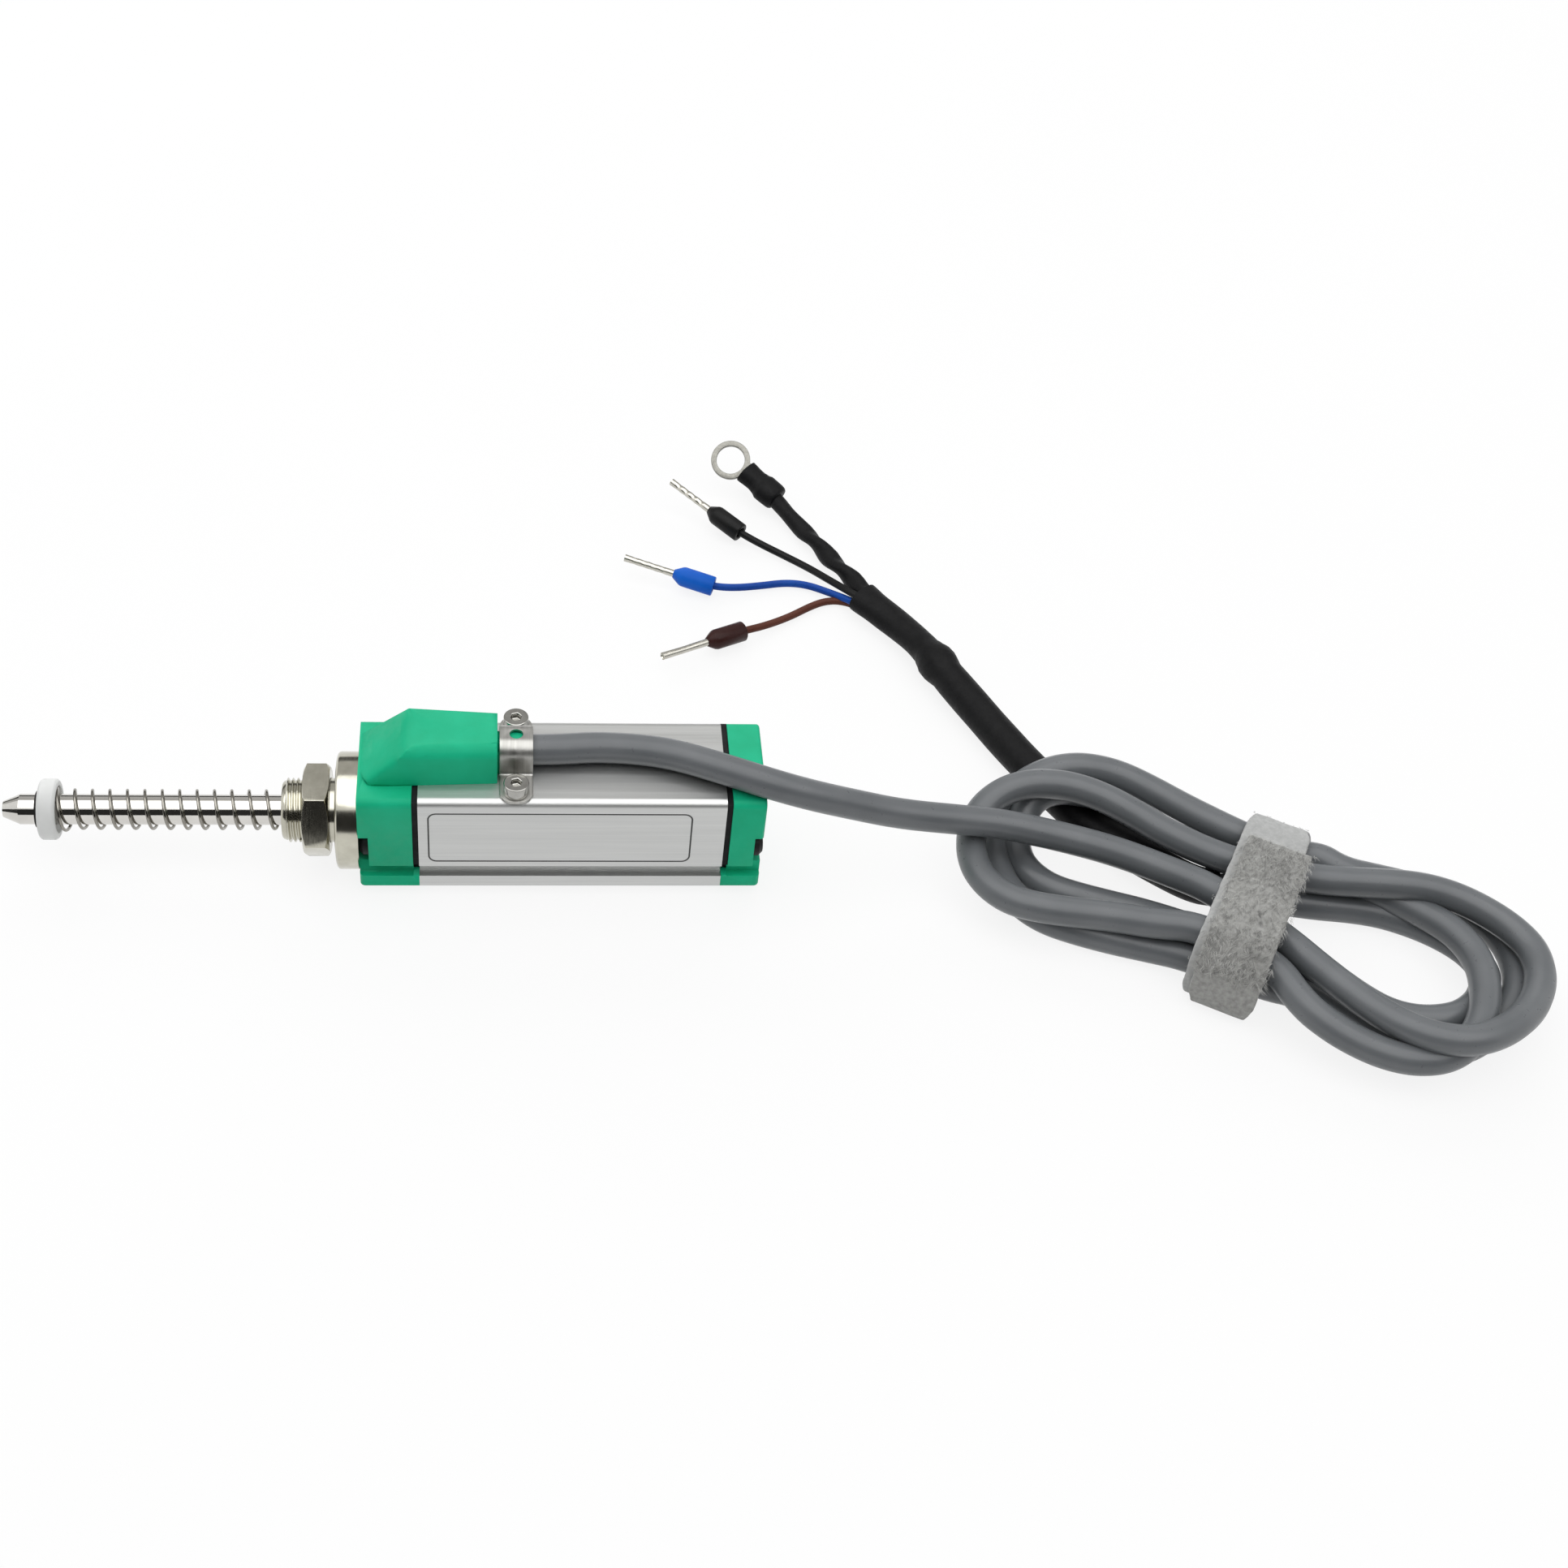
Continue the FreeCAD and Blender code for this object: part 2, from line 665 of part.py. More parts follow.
def make_jam_nut():
    body = new_body("jam_nut")
    back = "-nut_gap"
    front = "(-nut_gap - nut_thickness)"
    corner = "nut_across / sqrt(3)"
    angles = [f"(nut_turn + {turn}) * 1 deg" for turn in range(0, 360, 60)]
    points = [(f"{corner} * cos({angle})", f"{corner} * sin({angle})") for angle in angles]
    pad(body, outline(new_sketch(body, "YZ_Plane", front), points), "nut_thickness")
    rim = f"({corner} + cut_margin)"
    fall = "(nut_across / sqrt(3) - nut_across / 2)"
    reach = f"nut_chamfer * (1 + cut_margin / {fall})"
    for end, inwards in ((front, "+"), (back, "-")):
        grooved(body, [(end, "nut_across / 2"), (end, rim), (f"({end} {inwards} {reach})", rim)])
    bore = circle(new_sketch(body, "YZ_Plane", front), "0", "0", "thread_dia + 2 * thread_clearance")
    pocket(body, bore, "nut_thickness", forwards=True)
    return body


def make_plunger_rod():
    body = new_body("plunger_rod")
    rod = "rod_dia / 2"
    groove = "ring_groove_dia / 2"
    screw = "(carriage_screw_dia / 2 + thread_clearance)"
    turned(
        body,
        [
            ("-rod_reach", "0"),
            ("-rod_reach", "tip_dia / 2"),
            ("(tip_cone - rod_reach)", rod),
            (RING_FRONT, rod),
            (RING_FRONT, groove),
            (RING_BACK, groove),
            (RING_BACK, rod),
            (ROD_END, rod),
            (ROD_END, screw),
            (f"({ROD_END} - carriage_screw_grip - thread_clearance)", screw),
            (f"({ROD_END} - carriage_screw_grip - thread_clearance)", "0"),
        ],
    )
    return body


def make_spring_collar():
    body = new_body("spring_collar")
    bore = "(rod_dia / 2 + seat_clearance)"
    rim = "collar_dia / 2"
    turned(
        body,
        [
            (RING_BACK, bore),
            (RING_BACK, f"({rim} - collar_edge)"),
            (f"({RING_BACK} + collar_edge)", rim),
            (f"({COLLAR_BACK} - collar_edge)", rim),
            (COLLAR_BACK, f"({rim} - collar_edge)"),
            (COLLAR_BACK, "collar_recess_dia / 2"),
            (f"({COLLAR_BACK} - collar_recess_depth)", "collar_recess_dia / 2"),
            (f"({COLLAR_BACK} - collar_recess_depth)", bore),
        ],
    )
    return body


def make_return_spring():
    body = new_body("return_spring")
    start = f"({COLLAR_BACK} - collar_recess_depth + spring_gap + spring_wire_dia / 2)"
    end = "(-thread_length - spring_gap - spring_wire_dia / 2)"
    wire = circle(new_sketch(body, "XY_Plane"), start, "spring_coil_dia / 2", "spring_wire_dia")
    coil = body.newObject("PartDesign::AdditiveHelix", "return_spring_coil")
    coil.Profile = wire
    coil.ReferenceAxis = (wire, ["H_Axis"])
    coil.Mode = "height-turns-angle"
    coil.setExpression("Height", sized(f"{end} - {start}"))
    coil.setExpression("Turns", sized("spring_turns"))
    doc.recompute()
    return body


def make_wiper_carriage():
    body = new_body("wiper_carriage")
    wide = "(cavity_width / 2 - carriage_side_gap)"
    block = rectangle(
        new_sketch(body, "YZ_Plane", CARRIAGE_FRONT), f"-{wide}", wide, "-carriage_drop", "carriage_rise"
    )
    pad(body, block, "carriage_length")
    seat = circle(new_sketch(body, "YZ_Plane", CARRIAGE_FRONT), "0", "0", "rod_dia + 2 * seat_clearance")
    pocket(body, seat, "rod_seat", forwards=True)
    screw_hole = "carriage_screw_dia + 2 * hole_clearance"
    hole = circle(new_sketch(body, "YZ_Plane", ROD_END), "0", "0", screw_hole)
    pocket(body, hole, "carriage_length - rod_seat", forwards=True)
    return body


def make_carriage_screw():
    body = new_body("carriage_screw")
    shank = "carriage_screw_dia / 2"
    turned(
        body,
        [
            (f"({ROD_END} - carriage_screw_grip)", "0"),
            (f"({ROD_END} - carriage_screw_grip)", shank),
            (CARRIAGE_BACK, shank),
            (CARRIAGE_BACK, "carriage_head_dia / 2"),
            (f"({CARRIAGE_BACK} + carriage_head_height)", "carriage_head_dia / 2"),
            (f"({CARRIAGE_BACK} + carriage_head_height)", "0"),
        ],
    )
    return body


def make_wiper_contacts():
    """Two spring fingers: a tab on the carriage, a rising arm and a short contact tip."""
    tab = f"({CARRIAGE_FRONT} + wiper_setback)"
    arm = f"({tab} + wiper_tab)"
    tip = f"({arm} + wiper_reach)"
    low = "carriage_rise"
    high = f"({TRACK_LOW} - contact_gap)"
    fingers = []
    for k, side in enumerate(("-", ""), start=1):
        body = new_body(f"wiper_contact_{k}")
        sketch = new_sketch(body, "XZ_Plane", f"-({side}track_spread / 2) - wiper_width / 2")
        outline(
            sketch,
            [
                (tab, low),
                (arm, low),
                (tip, f"({high} - wiper_thickness)"),
                (f"({tip} + wiper_width / 2)", f"({high} - 2 * wiper_thickness)"),
                (f"({tip} + wiper_width / 2)", f"({high} - wiper_thickness)"),
                (tip, high),
                (arm, f"({low} + wiper_thickness)"),
                (tab, f"({low} + wiper_thickness)"),
            ],
        )
        pad(body, sketch, "wiper_width")
        fingers.append(body)
    return group("wiper_contacts", fingers)


def make_resistance_strip():
    body = new_body("resistance_strip")
    wide = "(cavity_width / 2 - strip_side_gap)"
    face = new_sketch(body, "YZ_Plane", STRIP_FRONT)
    board = rectangle(face, f"-{wide}", wide, STRIP_LOW, CAVITY_HIGH)
    pad(body, board, STRIP_LENGTH)
    tracks = []
    for k, side in enumerate(("-", ""), start=1):
        track = doc.addObject("Part::Box", f"track_{k}")
        track.setExpression("Length", sized(f"{STRIP_LENGTH} - 2 * track_margin"))
        track.setExpression("Width", sized("track_width"))
        track.setExpression("Height", sized("track_thickness"))
        edge = f"{side}track_spread / 2 - track_width / 2"
        place(track, f"{STRIP_FRONT} + track_margin", edge, TRACK_LOW)
        tracks.append(track)
    return group("resistor_tracks", tracks)


def make_cable_clip():
    body = new_body("cable_clip")
    outer = f"({CLIP_IN} + clip_thickness)"
    crown = f"({CLIP_HIGH} + clip_thickness)"
    foot = f"({TOP} + clip_thickness)"
    right = [
        (CLIP_IN, CLIP_HIGH),
        (CLIP_IN, TOP),
        (CLIP_END, TOP),
        (CLIP_END, foot),
        (outer, foot),
        (outer, crown),
    ]
    left = [(f"-{y}", z) for y, z in reversed(right)]
    pad(body, outline(new_sketch(body, "YZ_Plane", CLIP_FRONT), right + left), "clip_width")
    rounded(body, "clip_round", "x", lambda x, y, z: near(abs(y), CLIP_IN) and near(z, CLIP_HIGH))
    bends = [("clip_round + clip_thickness", outer, crown), ("clip_bend", outer, foot)]
    bends.append(("clip_bend + clip_thickness", CLIP_IN, TOP))
    for radius, side, rise in bends:
        rounded(body, radius, "x", lambda x, y, z: near(abs(y), side) and near(z, rise))
    rounded(body, "clip_end_round", "z", lambda x, y, z: near(abs(y), CLIP_END))
    holes = new_sketch(body, "XY_Plane", foot)
    for side in ("-", ""):
        circle(holes, CLIP_MID, f"{side}clip_screw_spread / 2", "clip_screw_dia + 2 * hole_clearance")
    pocket(body, holes, "clip_thickness")
    window = circle(new_sketch(body, "XY_Plane", crown), CLIP_MID, "0", "clip_window_dia")
    pocket(body, window, "2 * clip_thickness")
    return body


def make_clip_screws():
    pair = []
    for k, side in enumerate(("-", ""), start=1):
        body = new_body(f"clip_screw_{k}")
        shank = circle(new_sketch(body, "XY_Plane"), "0", "0", "clip_screw_dia")
        pad(body, shank, "clip_thickness + clip_screw_grip", backwards=True)
        pad(body, circle(new_sketch(body, "XY_Plane"), "0", "0", "clip_head_dia"), "clip_head_height")
        corner = "clip_socket_across / sqrt(3)"
        angles = [f"{turn} deg" for turn in range(15, 375, 60)]
        points = [(f"{corner} * cos({angle})", f"{corner} * sin({angle})") for angle in angles]
        socket = outline(new_sketch(body, "XY_Plane", "clip_head_height"), points)
        pocket(body, socket, "clip_socket_depth")
        pair.append(place(body, CLIP_MID, f"{side}clip_screw_spread / 2", f"{TOP} + clip_thickness"))
    return group("clip_screws", pair)


def tube(label, points, dia):
    """A plain round tube along straight runs joined by the largest tangent arcs that they allow."""
    route = [FreeCAD.Vector(*p) for p in points]
    edges = []
    radii = []
    start = route[0]
    for before, corner, after in zip(route, route[1:], route[2:]):
        back = (before - corner).normalize()
        ahead = (after - corner).normalize()
        half = (math.pi - back.getAngle(ahead)) / 2
        reach = ARC_SHARE * min(before.distanceToPoint(corner), corner.distanceToPoint(after))
        radius = reach / math.tan(half)
        bisector = (back + ahead).normalize()
        middle = corner + bisector * (radius / math.cos(half) - radius)
        enter = corner + back * reach
        leave = corner + ahead * reach
        edges.append(Part.LineSegment(start, enter).toShape())
        edges.append(Part.Arc(enter, middle, leave).toShape())
        radii.append(round(radius, 1))
        start = leave
    edges.append(Part.LineSegment(start, route[-1]).toShape())
    path = Part.Wire(edges)
    profile = Part.Wire(Part.makeCircle(dia / 2, route[0], (route[1] - route[0]).normalize()))
    solid = path.makePipeShell([profile], True, True)
    expected = math.pi * dia ** 2 / 4 * path.Length
    fullness = round(solid.Volume / expected, 4)
    print(label, "length", round(path.Length, 1), "radii", radii, "volume ratio", fullness)
    return solid


def tube_node(label, points, dia):
    node = doc.addObject("Part::Feature", label)
    node.Label = label
    node.Shape = tube(label, points, num(dia))
    node.Placement = FreeCAD.Placement()
    return node


def make_strip_wires():
    """Three wires from the strip's front end, forwards through the cap and up to the cable's end."""
    turn_x = num(f"({CHAMBER_FRONT} + {JACKET_END}) / 2 - wire_dia / 2")
    solder_x = num(f"{STRIP_FRONT} + wire_tail")
    low, high = num(WIRE_Z), num(CABLE_Z)
    wires = []
    for k in (-1, 0, 1):
        y = k * num("wire_spread")
        points = [(solder_x, y, low), (turn_x, y, low), (turn_x, y, high), (num(JACKET_END), y, high)]
        wires.append(tube_node(f"strip_wire_{k + 2}", points, "wire_dia"))
    return group("strip_wires", wires)


# The cable and its leads, as they lie on the table under the flange's rim. The hank's own frame
# has its origin under the strap, +X along the hank.
TABLE = -9.0
HANK_CENTRE = (139.5, -17.0, TABLE)
HANK_TURN = -28.6
HANK_LEFT_LOBE = [(-25.0, 24.2), (-47.5, 2.6), (-33.0, -15.3)]
HANK_RIGHT_LOBE = [(25.5, -21.0), (47.6, 3.6), (25.5, 23.0)]
HANK_EYES = [(-28.0, 2.6, 8.5), (24.5, 0.6, 9.0)]
LEAD_POINTS = [
    (36.0, 0.0, 13.2),
    (57.0, -3.4, 15.2),
    (70.5, -7.6, 12.6),
    (81.0, -4.4, 4.6),
    (91.0, -1.4, -0.7),
    (100.0, -0.6, -2.4),
]
TAIL_POINTS = [
    (112.0, 14.2, -6.0),
    (104.8, 28.0, -6.0),
    (100.1, 39.1, -6.0),
    (93.7, 49.6, -6.0),
    (86.8, 58.0, -6.0),
]
SHIELD_POINTS = [
    (87.6, 58.5, -6.2),
    (84.4, 68.0, -7.0),
    (80.2, 77.0, -7.1),
    (75.9, 86.0, -6.4),
]
TERMINAL_HEADING = (-0.78, 0.55, 0.30)
TERMINAL_FACING = (0, -1, 1)
LEADS = {
    "black": [
        (86.3, 57.6, -4.2),
        (83.0, 62.4, -6.0),
        (77.6, 67.0, -7.6),
        (72.3, 71.9, -8.1),
        (68.3, 76.1, -7.0),
    ],
    "blue": [
        (85.7, 57.1, -6.1),
        (81.2, 60.8, -7.2),
        (75.6, 62.0, -8.0),
        (68.4, 60.0, -8.1),
        (62.1, 62.4, -7.5),
    ],
    "brown": [
        (86.1, 57.3, -8.0),
        (81.6, 57.5, -8.3),
        (76.6, 54.7, -8.2),
        (71.6, 51.7, -7.9),
        (67.0, 49.7, -7.5),
    ],
}


def make_cable():
    height = num(CABLE_Z)
    tube_node("cable_lead", [(num(JACKET_END), 0, height)] + LEAD_POINTS, "cable_dia")
    tube_node("cable_tail", TAIL_POINTS, "sleeve_dia")
    tube_node("shield_lead", SHIELD_POINTS, "shield_dia")


def lobe(start, bulge, end):
    return Part.Arc(*[FreeCAD.Vector(x, y, 0) for x, y in (start, bulge, end)]).toShape()


def flank(start, end):
    return Part.LineSegment(FreeCAD.Vector(*start, 0), FreeCAD.Vector(*end, 0)).toShape()


def make_hank():
    """One closed solid for the tied cable: two lobes with open eyes and a straight waist in the strap."""
    waist = num("hank_waist") / 2
    reach = num("strap_width / 2 + hank_shoulder")
    edges = [
        flank((reach, waist), (-reach, waist)),
        flank((-reach, waist), HANK_LEFT_LOBE[0]),
        lobe(*HANK_LEFT_LOBE),
        flank(HANK_LEFT_LOBE[2], (-reach, -waist)),
        flank((-reach, -waist), (reach, -waist)),
        flank((reach, -waist), HANK_RIGHT_LOBE[0]),
        lobe(*HANK_RIGHT_LOBE),
        flank(HANK_RIGHT_LOBE[2], (reach, waist)),
    ]
    height = num("hank_height")
    blank = Part.Face(Part.Wire(edges)).extrude(FreeCAD.Vector(0, 0, height))
    for x, y, radius in HANK_EYES:
        blank = blank.cut(Part.makeCylinder(radius, height, FreeCAD.Vector(x, y, 0)))
    strap, margin = num("strap_width"), num("cut_margin")
    under = FreeCAD.Vector(-strap / 2, -waist - margin, 0)
    blank = blank.cut(Part.makeBox(strap, 2 * (waist + margin), num("strap_thickness"), under))
    node = doc.addObject("Part::Feature", "cable_hank")
    node.Label = "cable_hank"
    node.Shape = blank
    node.Placement = hank_placement()
    return node


def hank_placement():
    return FreeCAD.Placement(
        FreeCAD.Vector(*HANK_CENTRE), FreeCAD.Rotation(FreeCAD.Vector(0, 0, 1), HANK_TURN)
    )


def make_strap():
    body = new_body("hank_strap")
    out_side = "(hank_waist / 2 + strap_thickness)"
    crown = "(hank_height + strap_thickness)"
    start = "-strap_width / 2"
    band = rectangle(new_sketch(body, "YZ_Plane", start), f"-{out_side}", out_side, "0", crown)
    pad(body, band, "strap_width")
    rounded(body, "strap_edge", "x", lambda x, y, z: near(abs(y), out_side))
    way = rectangle(
        new_sketch(body, "YZ_Plane", start),
        "-hank_waist / 2",
        "hank_waist / 2",
        "strap_thickness",
        "hank_height",
    )
    pocket(body, way, "strap_width", forwards=True)
    body.Placement = hank_placement()
    return body


def make_leads():
    """Each thin lead with its crimped ferrule: a tapered collar and a bare pin."""
    collar = "ferrule_collar_dia / 2"
    nose = "(ferrule_collar_length + ferrule_cone)"
    pins = []
    for colour, points in LEADS.items():
        tube_node(f"{colour}_lead", points, "lead_dia")
        before, end = FreeCAD.Vector(*points[-2]), FreeCAD.Vector(*points[-1])
        seat = FreeCAD.Placement(end, FreeCAD.Rotation(FreeCAD.Vector(1, 0, 0), end - before))
        body = new_body(f"{colour}_collar")
        turned(
            body,
            [
                ("0", "0"),
                ("0", collar),
                ("ferrule_collar_length", collar),
                (nose, "ferrule_pin_dia / 2"),
                (nose, "0"),
            ],
        )
        body.Placement = seat
        pin = new_body(f"{colour}_pin")
        outer = "ferrule_pin_dia / 2"
        point = f"({nose} + ferrule_pin_length)"
        turned(pin, [(nose, "0"), (nose, outer), (point, outer), (point, "0")])
        pin.Placement = seat
        pins.append(pin)
    return group("ferrule_pins", pins)


def make_ring_terminal():
    """A flat ring with a tongue and a crimp barrel, and the shrink sleeve over the barrel."""
    sleeve_start = "(terminal_tongue + cable_gap)"
    sleeve_end = f"({sleeve_start} + terminal_sleeve_length)"
    heading = FreeCAD.Vector(*TERMINAL_HEADING).normalize()
    turn = FreeCAD.Rotation(-heading, FreeCAD.Vector(), FreeCAD.Vector(*TERMINAL_FACING), "XZY")
    seat = FreeCAD.Placement(FreeCAD.Vector(*SHIELD_POINTS[-1]) + heading * num(sleeve_end), turn)
    body = new_body("ring_terminal")
    half = "terminal_thickness / 2"
    ring = circle(new_sketch(body, "XY_Plane", f"-{half}"), "0", "0", "terminal_ring_dia")
    pad(body, ring, "terminal_thickness")
    tongue = rectangle(
        new_sketch(body, "XY_Plane", f"-{half}"), "0", "terminal_tongue", "-terminal_tongue_width / 2",
        "terminal_tongue_width / 2",
    )
    pad(body, tongue, "terminal_thickness")
    hole = circle(new_sketch(body, "XY_Plane", half), "0", "0", "terminal_hole_dia")
    pocket(body, hole, "terminal_thickness")
    barrel = circle(new_sketch(body, "YZ_Plane", "terminal_tongue"), "0", "0", "terminal_barrel_dia")
    pad(body, barrel, "terminal_barrel_length")
    body.Placement = seat
    inner = "(terminal_barrel_dia / 2 + seat_clearance)"
    outer = "terminal_sleeve_dia / 2"
    sleeve = make_ring("terminal_sleeve", sleeve_start, sleeve_end, inner, outer)
    sleeve.Placement = seat
    return body


make_profile_housing()
make_front_cap()
make_rear_cap()
make_gasket("front_gasket", CAP_BACK)
make_gasket("rear_gasket", BODY_BACK)
make_cap_screws()
make_threaded_bushing()
bearing_end = f"({SEAL_END} + bearing_length)"
make_ring("rod_bearing", SEAL_END, bearing_end, "(rod_dia / 2 + running_clearance)", f"{BEARING_DIA} / 2")
seal_front = f"({MOUTH_END} + seat_clearance)"
seal_back = f"({SEAL_END} - seat_clearance)"
seal_rim = "(rod_dia / 2 + seal_wall - seat_clearance)"
make_ring("rod_seal", seal_front, seal_back, "(rod_dia / 2 + running_clearance)", seal_rim)
make_jam_nut()
make_plunger_rod()
ring_front = f"({RING_FRONT} + seat_clearance)"
ring_bore = "(ring_groove_dia / 2 + seat_clearance)"
make_ring("retaining_ring", ring_front, f"({RING_BACK} - seat_clearance)", ring_bore, "ring_dia / 2")
make_spring_collar()
make_return_spring()
make_wiper_carriage()
make_carriage_screw()
make_wiper_contacts()
make_resistance_strip()
make_strip_wires()
make_cable_clip()
make_clip_screws()
make_cable()
make_hank()
make_strap()
make_leads()
make_ring_terminal()
doc.recompute()

NODES = [
    "profile_housing", "front_cap", "rear_cap", "front_gasket", "rear_gasket", "front_cap_screws",
    "rear_cap_screws", "threaded_bushing", "jam_nut", "rod_bearing", "rod_seal", "plunger_rod",
    "retaining_ring", "spring_collar", "return_spring", "wiper_carriage", "carriage_screw",
    "wiper_contacts", "resistance_strip", "resistor_tracks", "strip_wires", "cable_clip",
    "clip_screws", "cable_lead", "cable_hank", "hank_strap", "cable_tail", "shield_lead",
    "terminal_sleeve", "ring_terminal", "black_lead", "blue_lead", "brown_lead", "black_collar",
    "blue_collar", "brown_collar", "ferrule_pins",
]

for item in doc.Objects:
    if "Invalid" in item.State or "Error" in item.State:
        raise RuntimeError(f"{item.Label} failed: {item.State}")
shapes = {name: doc.getObjectsByLabel(name)[0].Shape for name in NODES}
for name, shape in shapes.items():
    if shape.isNull() or not shape.isValid():
        raise RuntimeError(f"{name} has no valid shape")
os.makedirs("parts", exist_ok=True)
for name, shape in shapes.items():
    shape.exportStep(f"parts/{name}.step")
    print(name, len(shape.Solids), "solids", round(shape.Volume, 2), "mm3")
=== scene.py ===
import json
import math
import random

import bmesh
import bpy
from mathutils import Matrix, Vector, noise
from mathutils.geometry import intersect_point_line

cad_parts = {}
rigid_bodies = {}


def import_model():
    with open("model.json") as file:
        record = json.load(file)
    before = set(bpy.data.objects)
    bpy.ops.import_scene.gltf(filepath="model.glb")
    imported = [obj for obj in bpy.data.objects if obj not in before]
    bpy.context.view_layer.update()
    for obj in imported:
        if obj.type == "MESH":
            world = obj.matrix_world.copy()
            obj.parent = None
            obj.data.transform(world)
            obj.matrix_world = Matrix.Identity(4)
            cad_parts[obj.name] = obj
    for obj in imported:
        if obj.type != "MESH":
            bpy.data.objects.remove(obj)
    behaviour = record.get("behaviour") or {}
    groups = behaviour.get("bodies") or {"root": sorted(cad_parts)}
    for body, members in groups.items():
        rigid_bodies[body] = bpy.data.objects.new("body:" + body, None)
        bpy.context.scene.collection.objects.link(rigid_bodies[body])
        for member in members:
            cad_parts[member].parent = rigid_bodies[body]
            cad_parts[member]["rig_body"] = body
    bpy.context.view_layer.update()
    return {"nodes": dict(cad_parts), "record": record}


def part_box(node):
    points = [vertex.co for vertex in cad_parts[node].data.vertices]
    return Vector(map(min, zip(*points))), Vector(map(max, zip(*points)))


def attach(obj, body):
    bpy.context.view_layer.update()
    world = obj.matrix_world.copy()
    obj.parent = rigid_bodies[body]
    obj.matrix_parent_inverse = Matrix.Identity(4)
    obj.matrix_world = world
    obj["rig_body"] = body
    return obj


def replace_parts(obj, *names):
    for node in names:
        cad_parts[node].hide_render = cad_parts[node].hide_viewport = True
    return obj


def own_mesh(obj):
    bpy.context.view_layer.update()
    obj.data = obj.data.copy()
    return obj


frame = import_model()

MM = 0.001
ROD_AXIS = Vector((1, 0, 0))
TABLE_Z = -9.0 * MM


def mm(*numbers):
    return Vector(numbers) * MM


# Finishes: every one reads Object coordinates, which are metres in the sensor's own frame.

class Finish:
    """A procedural material built up from grain, tint, gloss and relief."""

    def __init__(self, name, **sockets):
        self.material = bpy.data.materials.new(name)
        self.material.use_nodes = True
        self.tree = self.material.node_tree
        self.shader = self.tree.nodes["Principled BSDF"]
        self.relief = None
        for socket, value in sockets.items():
            self.shader.inputs[socket.replace("_", " ")].default_value = value

    def add(self, kind, **sockets):
        made = self.tree.nodes.new(kind)
        for socket, value in sockets.items():
            made.inputs[socket.replace("_", " ")].default_value = value
        return made

    def join(self, source, target):
        self.tree.links.new(source, target)

    def place(self, stretch=(1, 1, 1), turn=(0, 0, 0)):
        mapping = self.add("ShaderNodeMapping", Scale=stretch, Rotation=turn)
        self.join(self.add("ShaderNodeTexCoord").outputs["Object"], mapping.inputs["Vector"])
        return mapping.outputs["Vector"]

    def grain(self, size, detail=3.0, stretch=(1, 1, 1), turn=(0, 0, 0)):
        """Noise whose features are about size metres across, drawn out by stretch."""
        made = self.add("ShaderNodeTexNoise", Scale=1.0 / size, Detail=detail, Roughness=0.55)
        self.join(self.place(stretch, turn), made.inputs["Vector"])
        return made.outputs["Fac"]

    def cells(self, size, stretch=(1, 1, 1)):
        made = self.add("ShaderNodeTexVoronoi", Scale=1.0 / size)
        self.join(self.place(stretch), made.inputs["Vector"])
        return made.outputs["Distance"]

    def tint(self, fac, dark, light, low=0.3, high=0.7):
        ramp = self.add("ShaderNodeValToRGB")
        stops = ramp.color_ramp.elements
        stops[0].position, stops[0].color = low, (*dark, 1)
        stops[1].position, stops[1].color = high, (*light, 1)
        self.join(fac, ramp.inputs["Fac"])
        self.join(ramp.outputs["Color"], self.shader.inputs["Base Color"])
        return self

    def gloss(self, fac, smooth, rough, low=0.3, high=0.7):
        spread = self.add("ShaderNodeMapRange", From_Min=low, From_Max=high, To_Min=smooth, To_Max=rough)
        self.join(fac, spread.inputs["Value"])
        self.join(spread.outputs["Result"], self.shader.inputs["Roughness"])
        return self

    def raise_by(self, fac, depth, strength=1.0):
        """Adds relief of about depth metres on top of the relief so far."""
        bump = self.add("ShaderNodeBump", Strength=strength, Distance=depth)
        self.join(fac, bump.inputs["Height"])
        if self.relief:
            self.join(self.relief, bump.inputs["Normal"])
        self.relief = bump.outputs["Normal"]
        self.join(self.relief, self.shader.inputs["Normal"])
        return self


def moulded(name, dark, light, smooth=0.38, rough=0.52, texture=0.6):
    """Moulded plastic or a matt dark coating: faint flow clouds and a fine skin."""
    made = Finish(name, Specular_IOR_Level=0.14)
    made.tint(made.grain(5.0 * MM), dark, light)
    made.gloss(made.grain(1.2 * MM), smooth, rough)
    return made.raise_by(made.grain(0.14 * MM, 2.0), 0.006 * MM, texture)


def turned_metal(name, dark, light, smooth, rough):
    """Lathe-turned or plated metal: fine rings round the rod's axis over a soft mottle."""
    made = Finish(name, Metallic=1.0)
    made.tint(made.grain(2.5 * MM), dark, light)
    made.gloss(made.grain(0.10 * MM, 3.0, stretch=(1, 0.05, 0.05)), smooth, rough)
    return made.raise_by(made.grain(0.07 * MM, 2.0, stretch=(1, 0.04, 0.04)), 0.0003 * MM, 0.6)


def drawn_metal(name, dark, light, smooth, rough, stretch, depth=0.0012):
    """Extruded, rolled or drawn metal: streaks along the way that stretch draws them out."""
    made = Finish(name, Metallic=1.0)
    made.tint(made.grain(0.35 * MM, 4.0, stretch=stretch), dark, light, 0.25, 0.75)
    made.gloss(made.grain(0.8 * MM, 3.0, stretch=stretch), smooth, rough)
    return made.raise_by(made.grain(0.10 * MM, 3.0, stretch=stretch), depth * MM, 0.5)


